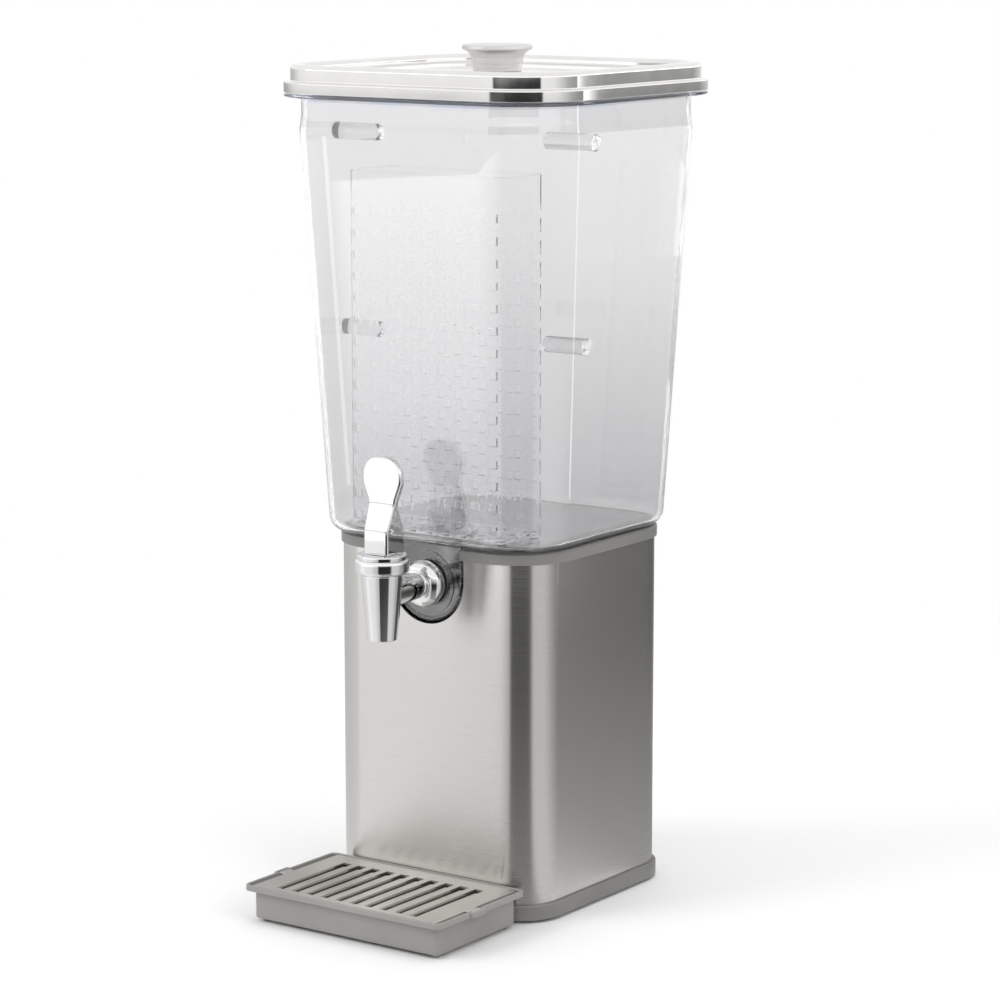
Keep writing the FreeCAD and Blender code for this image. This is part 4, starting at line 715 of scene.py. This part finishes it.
# Lever: boot-shaped base that necks into a flat paddle.
lever = inMetres(baseHeight=15, frontSlope=33, backSlope=30, lean=6.8, thick=5.8, baseWidth=19,
                 neckWidth=20.6, neckRound=20, paddleRise=46, paddleRound=12, topRound=13, bend=9, edge=2.2,
                 coreHalf=0.7, edgeSpare=0.1, pocketWidth=7.6, pocketStart=3.2, pocketLength=12,
                 pocketHeight=10, slotStart=5.5, slotLength=7.4, slotHeight=3.7, slotRise=4, slotWidth=14)
leverSteps = {"body": 60, "top": 16}
leverLow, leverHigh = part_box("tap_lever")
leverDepth = leverHigh.y - leverLow.y
leverHeight = leverHigh.z - leverLow.z
paddleHalf = leverHigh.x
frontLine = softLine([(0, 0, 0), (0, lever["baseHeight"], lever["bend"]),
                      (lever["lean"], lever["frontSlope"], lever["bend"]),
                      (lever["lean"], leverHeight, 0)], steps=10)
backLine = softLine([(leverDepth, 0, 0), (leverDepth, lever["baseHeight"], lever["bend"]),
                     (lever["lean"] + lever["thick"], lever["backSlope"], lever["bend"]),
                     (lever["lean"] + lever["thick"], leverHeight, 0)], steps=10)
halfLine = softLine([(lever["baseWidth"] / 2, 0, 0),
                     (lever["baseWidth"] / 2, lever["baseHeight"], lever["neckRound"]),
                     (lever["neckWidth"] / 2, lever["frontSlope"], lever["neckRound"]),
                     (paddleHalf, lever["paddleRise"], lever["paddleRound"]),
                     (paddleHalf, leverHeight, 0)], steps=10)
levels = [leverHeight * i / leverSteps["body"] for i in range(leverSteps["body"])]
topStart = leverHeight - lever["topRound"]
levels = [level for level in levels if level < topStart]
levels += [topStart + lever["topRound"] * math.sin(math.pi / 2 * i / leverSteps["top"])
           for i in range(leverSteps["top"] + 1)]
rings = []
for level in levels:
    half = lineAt(halfLine, level)
    front = lineAt(frontLine, level)
    depth = lineAt(backLine, level) - front
    over = max(0.0, level - topStart) / lever["topRound"]
    half -= lever["topRound"] * (1 - math.sqrt(max(0.0, 1 - over * over)))
    lip = max(0.0, level - leverHeight + lever["edge"]) / lever["edge"]
    inset = lever["edge"] * (1 - math.sqrt(max(0.0, 1 - lip * lip)))
    inset = min(inset, depth / 2 - lever["coreHalf"])
    edge = min(lever["edge"], depth / 2 - inset - lever["edgeSpare"])
    middle = (0, leverLow.y + front + depth / 2)
    rings.append(ring(middle, 2 * half - 2 * inset, depth - 2 * inset, edge, leverLow.z + level, 6))
tapLever = loft("tapLever", rings, chrome)
heel = leverLow.y
slotLow = leverLow.z + lever["slotRise"] - lever["slotHeight"] / 2
for cut, low, high in (("pocket", leverLow.z - through, leverLow.z + lever["pocketHeight"]),
                       ("slot", slotLow, slotLow + lever["slotHeight"])):
    half = lever[cut + "Width"] / 2
    start = heel + lever[cut + "Start"]
    cutter = block(cut, (-half, start, low), (half, start + lever[cut + "Length"], high), chrome)
    combine(tapLever, cutter, "DIFFERENCE")
dress(tapLever, "tap_lever")
print("tap made")

# Drip tray: flared rim, side ears and small nubs below.
tray = inMetres(rimWidth=158.8, rimHeight=4, ledge=2, overhang=4.8, wall=2.2, bottom=2.3, floor=2,
                backStep=4.5, rimWall=2, backWall=2.5, rimCorner=5, wallCorner=4, earLength=15,
                earForward=137.2, earProud=2.5, earCorner=0.5, nub=2, nubInset=6, nubRound=0.6,
                rimRound=0.9, rimUnder=0.4, rimRun=3, footRound=1.5, floorRound=1.5, ledgeRound=0.3,
                flare=0.4, overlap=1, cutOverlap=2, flatStart=10)
trayLow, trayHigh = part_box("drip_tray")
plastic = finishes["tray_plastic"]
lipLow = trayHigh.z - tray["rimHeight"]
ledgeTop = lipLow + tray["ledge"]


def boxRings(half, front, back, corner, levels):      # levels of (inset, z)
    smallest = 0.0001      # a corner is never quite sharp
    return [ring((0, (front + back) / 2), 2 * half - 2 * inset, back - front - 2 * inset,
                 max(corner - inset, smallest), z, 6) for inset, z in levels]


wallHalf = tray["rimWidth"] / 2 - tray["overhang"]
wallFront = trayLow.y + tray["overhang"]
wallBack = trayHigh.y - tray["backStep"]
earY = baseMiddle[1] - tray["earForward"]
footLine = softLine([(tray["flatStart"], tray["bottom"], 0), (0, tray["bottom"], tray["footRound"]),
                     (0, lipLow + tray["overlap"], 0)])
rimLine = softLine([(tray["flatStart"], lipLow, 0), (0, lipLow, tray["rimUnder"]),
                    (0, trayHigh.z, tray["rimRound"]), (tray["rimRun"], trayHigh.z, 0)], steps=5)
dripTray = loft("dripTray", boxRings(wallHalf, wallFront, wallBack, tray["wallCorner"], footLine), plastic)
rimHalf = tray["rimWidth"] / 2
earHalf = rimHalf + tray["earProud"]
earRun = tray["earLength"] / 2
rimWall = tray["rimWall"]
wall = tray["wall"]
cutLine = softLine([(rimWall / 4, ledgeTop, 0), (0, ledgeTop, tray["ledgeRound"]),
                    (0, trayHigh.z - tray["flare"], 0), (-tray["flare"], trayHigh.z, 0),
                    (-tray["flare"], trayHigh.z + through, 0)])
floorTop = tray["bottom"] + tray["floor"]
cavityLine = softLine([(tray["flatStart"], floorTop, 0), (0, floorTop, tray["floorRound"]),
                       (0, ledgeTop + tray["cutOverlap"], 0)])
for name, half, front, back, corner, line, operation in (
        ("trayRim", rimHalf, trayLow.y, trayHigh.y, tray["rimCorner"], rimLine, "UNION"),
        ("trayEars", earHalf, earY - earRun, earY + earRun, tray["earProud"], rimLine, "UNION"),
        ("trayRecess", rimHalf - rimWall, trayLow.y + rimWall, trayHigh.y - tray["backWall"],
         tray["rimCorner"] - rimWall, cutLine, "DIFFERENCE"),
        ("earRecess", earHalf - rimWall, earY - earRun + rimWall, earY + earRun - rimWall,
         tray["earCorner"], cutLine, "DIFFERENCE"),
        ("trayCavity", wallHalf - wall, wallFront + wall, wallBack - wall, tray["wallCorner"] - wall / 2,
         cavityLine, "DIFFERENCE")):
    combine(dripTray, loft(name, boxRings(half, front, back, corner, line), plastic), operation)
nubTop = tray["bottom"] + tray["floor"] / 2
nubLine = softLine([(0, trayLow.z, 0), (tray["nub"], trayLow.z, tray["nubRound"]),
                    (tray["nub"], nubTop, 0), (0, nubTop, 0)], steps=4)
for side in (-1, 1):
    for nubY in (wallFront + tray["nubInset"], wallBack - tray["nubInset"]):
        nubPlace = (side * (wallHalf - tray["nubInset"]), nubY, 0)
        combine(dripTray, turn("nub", nubLine, plastic, nubPlace, steps=24), "UNION")
dress(dripTray, "drip_tray")


# Node tree that cuts slots in a plate and hangs a blade in each.
def louvreTree():
    tree, given = newTree("louvres", [
        ("Slots", "Int"), ("Pitch", "Float"), ("Slot Size", "Vector"), ("First Slot", "Vector"),
        ("Blade", "Object"), ("Finish", "Material")])
    step = vectorNode(tree, X=given["Pitch"])
    row = linked(tree, "MeshLine", Count=given["Slots"], Start_Location=given["First Slot"], Offset=step)
    punches = copiesAt(tree, row, linked(tree, "MeshCube", Size=given["Slot Size"]))
    plate = joinMeshes(tree, "DIFFERENCE", given["Geometry"], punches)
    blades = copiesAt(tree, row, linked(tree, "ObjectInfo", "Geometry", Object=given["Blade"]))
    return endTree(tree, joinMeshes(tree, "UNION", plate, blades), given["Finish"])


# Drip grid: steel sheet with louvres and a finger tab each side.
grid = inMetres(sideGap=4, endGap=0.4, sheet=1.5, pitch=12, slotWidth=7, slotLength=72, slotBack=99,
                bladeDrop=3.1, bladeRun=5.6, bladeSheet=1.1, bladeLength=64.5, bladeRoot=0.4, corner=2,
                softEdge=0.35, punch=5)
gridSlots = 10
bladeSteps = 8
gridLow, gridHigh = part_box("drip_grid")
steel = finishes["grid_steel"]
sheetLow = gridHigh.z - grid["sheet"]
sheetLine = [(grid["softEdge"], sheetLow), (0, sheetLow + grid["softEdge"]),
             (0, gridHigh.z - grid["softEdge"]), (grid["softEdge"], gridHigh.z)]
plateHalf = rimHalf - rimWall - grid["sideGap"]
dripGrid = loft("dripGrid", boxRings(plateHalf, gridLow.y, gridHigh.y, grid["corner"], sheetLine), steel)
tabRun = earRun - rimWall - grid["endGap"]
combine(dripGrid, loft("gridTabs", boxRings(
    gridHigh.x, earY - tabRun, earY + tabRun, grid["corner"] / 2, sheetLine), steel), "UNION")
bend = 2 * math.atan(grid["bladeDrop"] / grid["bladeRun"])
radius = grid["bladeRun"] / math.sin(bend)
under = radius - grid["bladeSheet"]
angles = [bend * i / bladeSteps for i in range(bladeSteps + 1)]
section = [(grid["bladeRoot"], 0)]      # (across, up), over the blade and back below it
section += [(-radius * math.sin(angle), -radius * (1 - math.cos(angle))) for angle in angles]
section += [(-under * math.sin(angle), -grid["bladeSheet"] - under * (1 - math.cos(angle)))
            for angle in reversed(angles)]
section.append((grid["bladeRoot"], -grid["bladeSheet"]))
right = grid["slotWidth"] / 2
bladeStart = -grid["slotLength"] / 2 - grid["bladeRoot"]
vertices = [(right + x, y, z) for y in (bladeStart, bladeStart + grid["bladeLength"]) for x, z in section]
count = len(section)
faces = [(i, (i + 1) % count, (i + 1) % count + count, i + count) for i in range(count)]
faces += [tuple(range(count)), tuple(range(count, 2 * count))]
blade = newPiece("blade", vertices, faces, steel)
slotY = baseMiddle[1] - grid["slotBack"] - grid["slotLength"] / 2
runTree(dripGrid, louvreTree(), {
    "Slots": gridSlots, "Pitch": grid["pitch"], "Blade": blade, "Finish": steel,
    "Slot Size": (grid["slotWidth"], grid["slotLength"], grid["punch"]),
    "First Slot": (-grid["pitch"] * (gridSlots - 1) / 2, slotY, gridHigh.z)})
bpy.data.objects.remove(blade)
dress(dripGrid, "drip_grid")
print("tray and grid made")

# Plain studio: pale floor, soft light, white surroundings.
studio = {"floorSize": 8.0, "floorColour": 0.9, "floorRoughness": 0.9, "fadeStart": 0.45, "fadeEnd": 1.1,
          "worldLight": 0.62}
world = bpy.data.worlds.new("studio")
bpy.context.scene.world = world
world.use_nodes = True
worldTree = world.node_tree
worldTree.nodes.clear()


def seenRay(tree):      # rays that show the surroundings themselves
    path = tree.nodes.new("ShaderNodeLightPath")
    seen = mathNode(tree, "MAXIMUM", path.outputs["Is Camera Ray"], path.outputs["Is Glossy Ray"])
    return mathNode(tree, "MAXIMUM", seen, path.outputs["Is Transmission Ray"])


white = (1, 1, 1, 1)
lighting = addNode(worldTree, "ShaderNodeBackground", Color=white, Strength=studio["worldLight"])
backdrop = addNode(worldTree, "ShaderNodeBackground", Color=white, Strength=1.0)
mixed = worldTree.nodes.new("ShaderNodeMixShader")
worldOut = worldTree.nodes.new("ShaderNodeOutputWorld")
worldTree.links.new(seenRay(worldTree), mixed.inputs[0])
worldTree.links.new(lighting.outputs[0], mixed.inputs[1])
worldTree.links.new(backdrop.outputs[0], mixed.inputs[2])
worldTree.links.new(mixed.outputs[0], worldOut.inputs["Surface"])

floorFinish, floorTree, floorShader = newFinish(
    "floor_finish", (studio["floorColour"],) * 3 + (1,), studio["floorRoughness"])
glow = addNode(floorTree, "ShaderNodeEmission", Color=white, Strength=1.0)
place = floorTree.nodes.new("ShaderNodeTexCoord")
distance = floorTree.nodes.new("ShaderNodeVectorMath")
distance.operation = "LENGTH"
floorTree.links.new(place.outputs["Object"], distance.inputs[0])
fade = addNode(floorTree, "ShaderNodeMapRange", From_Min=studio["fadeStart"], From_Max=studio["fadeEnd"])
floorTree.links.new(distance.outputs["Value"], fade.inputs["Value"])
floorMix = floorTree.nodes.new("ShaderNodeMixShader")
shown = mathNode(floorTree, "MULTIPLY", fade.outputs["Result"], seenRay(floorTree))
floorTree.links.new(shown, floorMix.inputs[0])
floorTree.links.new(floorShader.outputs[0], floorMix.inputs[1])
floorTree.links.new(glow.outputs[0], floorMix.inputs[2])
floorTree.links.new(floorMix.outputs[0], floorTree.nodes["Material Output"].inputs["Surface"])
reach = studio["floorSize"] / 2
floor = newPiece("floor", [(-reach, -reach, 0), (reach, -reach, 0), (reach, reach, 0), (-reach, reach, 0)],
                 [(0, 1, 2, 3)], floorFinish)


softboxes = {      # place, size, power, target
    "keyLight": ((-1.5, -1.9, 1.9), (1.6, 1.6), 34, (0, 0, 0.3)),
    "sideLight": ((1.9, -0.4, 1.3), (1.2, 1.6), 12, (0, 0, 0.3)),
    "topLight": ((0.1, 0.4, 2.2), (1.8, 1.8), 22, (0, 0, 0)),
}


def softbox(name, place, size, power, target):
    lamp = bpy.data.lights.new(name, "AREA")
    lamp.shape = "RECTANGLE"
    lamp.size, lamp.size_y = size
    lamp.energy = power
    light = bpy.data.objects.new(name, lamp)
    bpy.context.scene.collection.objects.link(light)
    light.location = place
    light.rotation_euler = (Vector(target) - Vector(place)).to_track_quat("-Z", "Y").to_euler()
    light.visible_glossy = False
    light.visible_transmission = False
    light.visible_camera = False


for lampName, setting in softboxes.items():
    softbox(lampName, *setting)


# Painted reflections: glowing cards, not lamps, that show only in reflections on the piece; parts of a
# circle about the base, dark where the room would be, and brighter than white for the panel and strips.
# Levels of (distance, z, gain, lift), tones of (angle from the front towards the right, shade).
def paintedReflection(name, levels, tones, steps=2.0):
    finish = bpy.data.materials.new(name + "Finish")
    finish.use_nodes = True
    tree = finish.node_tree
    tree.nodes.clear()
    glowNode = addNode(tree, "ShaderNodeEmission", Strength=1.0)
    shade = tree.nodes.new("ShaderNodeAttribute")
    shade.attribute_name = "shade"
    out = tree.nodes.new("ShaderNodeOutputMaterial")
    tree.links.new(shade.outputs["Fac"], glowNode.inputs["Color"])
    tree.links.new(glowNode.outputs[0], out.inputs["Surface"])
    columns = []
    for (start, first), (end, last) in zip(tones, tones[1:]):
        count = max(1, round((end - start) / steps))
        columns += [(start + (end - start) * i / count, first + (last - first) * i / count)
                    for i in range(count)]
    columns.append(tones[-1])
    vertices = []
    shades = []
    for angle, tone in columns:
        across, forward = math.sin(math.radians(angle)), math.cos(math.radians(angle))
        for distance, z, gain, lift in levels:
            vertices.append((distance * across, baseMiddle[1] - distance * forward, z))
            shades.append(lift + gain * tone)
    count = len(levels)
    faces = [(i * count + j, (i + 1) * count + j, (i + 1) * count + j + 1, i * count + j + 1)
             for i in range(len(columns) - 1) for j in range(count - 1)]
    mesh = bpy.data.meshes.new(name)
    mesh.from_pydata(vertices, [], faces)
    mesh.materials.append(finish)
    mesh.attributes.new("shade", "FLOAT", "POINT").data.foreach_set("value", shades)
    piece = bpy.data.objects.new(name, mesh)
    bpy.context.scene.collection.objects.link(piece)
    piece.visible_camera = False
    piece.visible_diffuse = False
    piece.visible_shadow = False
    piece.visible_transmission = False


frontLevels = [(0.115, 0.003, 0.68, 0.32), (0.42, 0.003, 0.82, 0.18), (0.42, 0.1, 0.97, 0.03),
               (0.42, 0.2, 1, 0)]
lowLevels = frontLevels + [(0.42, 0.38, 0, 1)]
lidLevels = [(1.1, 0.42, 0.8, 0), (1.1, 0.488, 0.8, 0), (1.1, 0.491, 1, 0), (1.1, 0.535, 1, 0)]
tankLevels = [(1.1, 0.003, 1, 0), (1.1, 0.37, 1, 0)]
paintedReflections = {
    "frontCard": (frontLevels, [
        (-50, 0.82), (-41, 1), (-30, 0.98), (-22, 0.88), (-5, 0.84), (8, 0.6), (13, 0.55)]),
    "rightCard": (lowLevels, [
        (13, 0.55), (17, 0.02), (53, 0.02), (57, 0.2), (61, 0.66), (86, 0.66), (106, 0.4),
        (126, 0.18), (139, 0.14), (146, 0.11), (170, 0.11), (180, 0.3), (200, 0.35)]),
    "leftCard": (lowLevels, [(-150, 0.3), (-125, 0.4), (-105, 0.62), (-50, 0.82)]),
    "lidCard": (lidLevels, [
        (-150, 0.45), (-100, 0.6), (-75, 0.95), (-50, 1), (-14, 1), (-11.5, 0.02), (61.8, 0.02),
        (64, 1), (85, 0.95), (112, 0.5), (125, 0.4), (150, 0.35), (160, 0.5), (200, 0.9)]),
    "frontPanel": ([(1.1, 0.03, 0, 1), (1.1, 0.11, 0.5, 0.5), (1.1, 0.326, 1, 0)], [
        (-38, 1), (-37, 2.2), (-30, 2.2), (-5, 1.7), (10, 1)]),
    "leftStrip": (tankLevels, [(-48, 1), (-46, 2), (-40, 2), (-38.5, 1)]),
    "rightStrip": ([(0.41, 0.19, 1, 0), (0.41, 0.55, 1, 0)], [
        (123, 0.4), (124, 1.8), (127, 1.8), (128, 0.4)]),
    "farStrip": (tankLevels, [(144, 1), (148, 1.5), (165, 1.5), (170, 1)]),
    "shoulderStrip": ([(1.1, 0.57, 1, 0), (1.1, 0.72, 1, 0)], [(-60, 2), (180, 2)]),
}
for cardName, (levels, tones) in paintedReflections.items():
    paintedReflection(cardName, levels, tones)
print("studio made")

# Camera at the photograph's angle.
view = {"place": (1.3144, -1.82425, 0.661), "turn": 35.263, "tilt": 9.921, "lens": 124.02, "sensor": 36}
cameraData = bpy.data.cameras.new("camera")
cameraData.sensor_width = view["sensor"]
cameraData.lens = view["lens"]
camera = bpy.data.objects.new("camera", cameraData)
bpy.context.scene.collection.objects.link(camera)
camera.location = view["place"]
camera.rotation_euler = (math.radians(90 - view["tilt"]), 0, math.radians(view["turn"]))
bpy.context.scene.camera = camera
bpy.context.scene.view_settings.view_transform = "Standard"
# Light passes many clear walls on its way through the tank.
bounces = {"max_bounces": 32, "transmission_bounces": 32, "glossy_bounces": 12}
for limit, count in bounces.items():
    setattr(bpy.context.scene.cycles, limit, count)
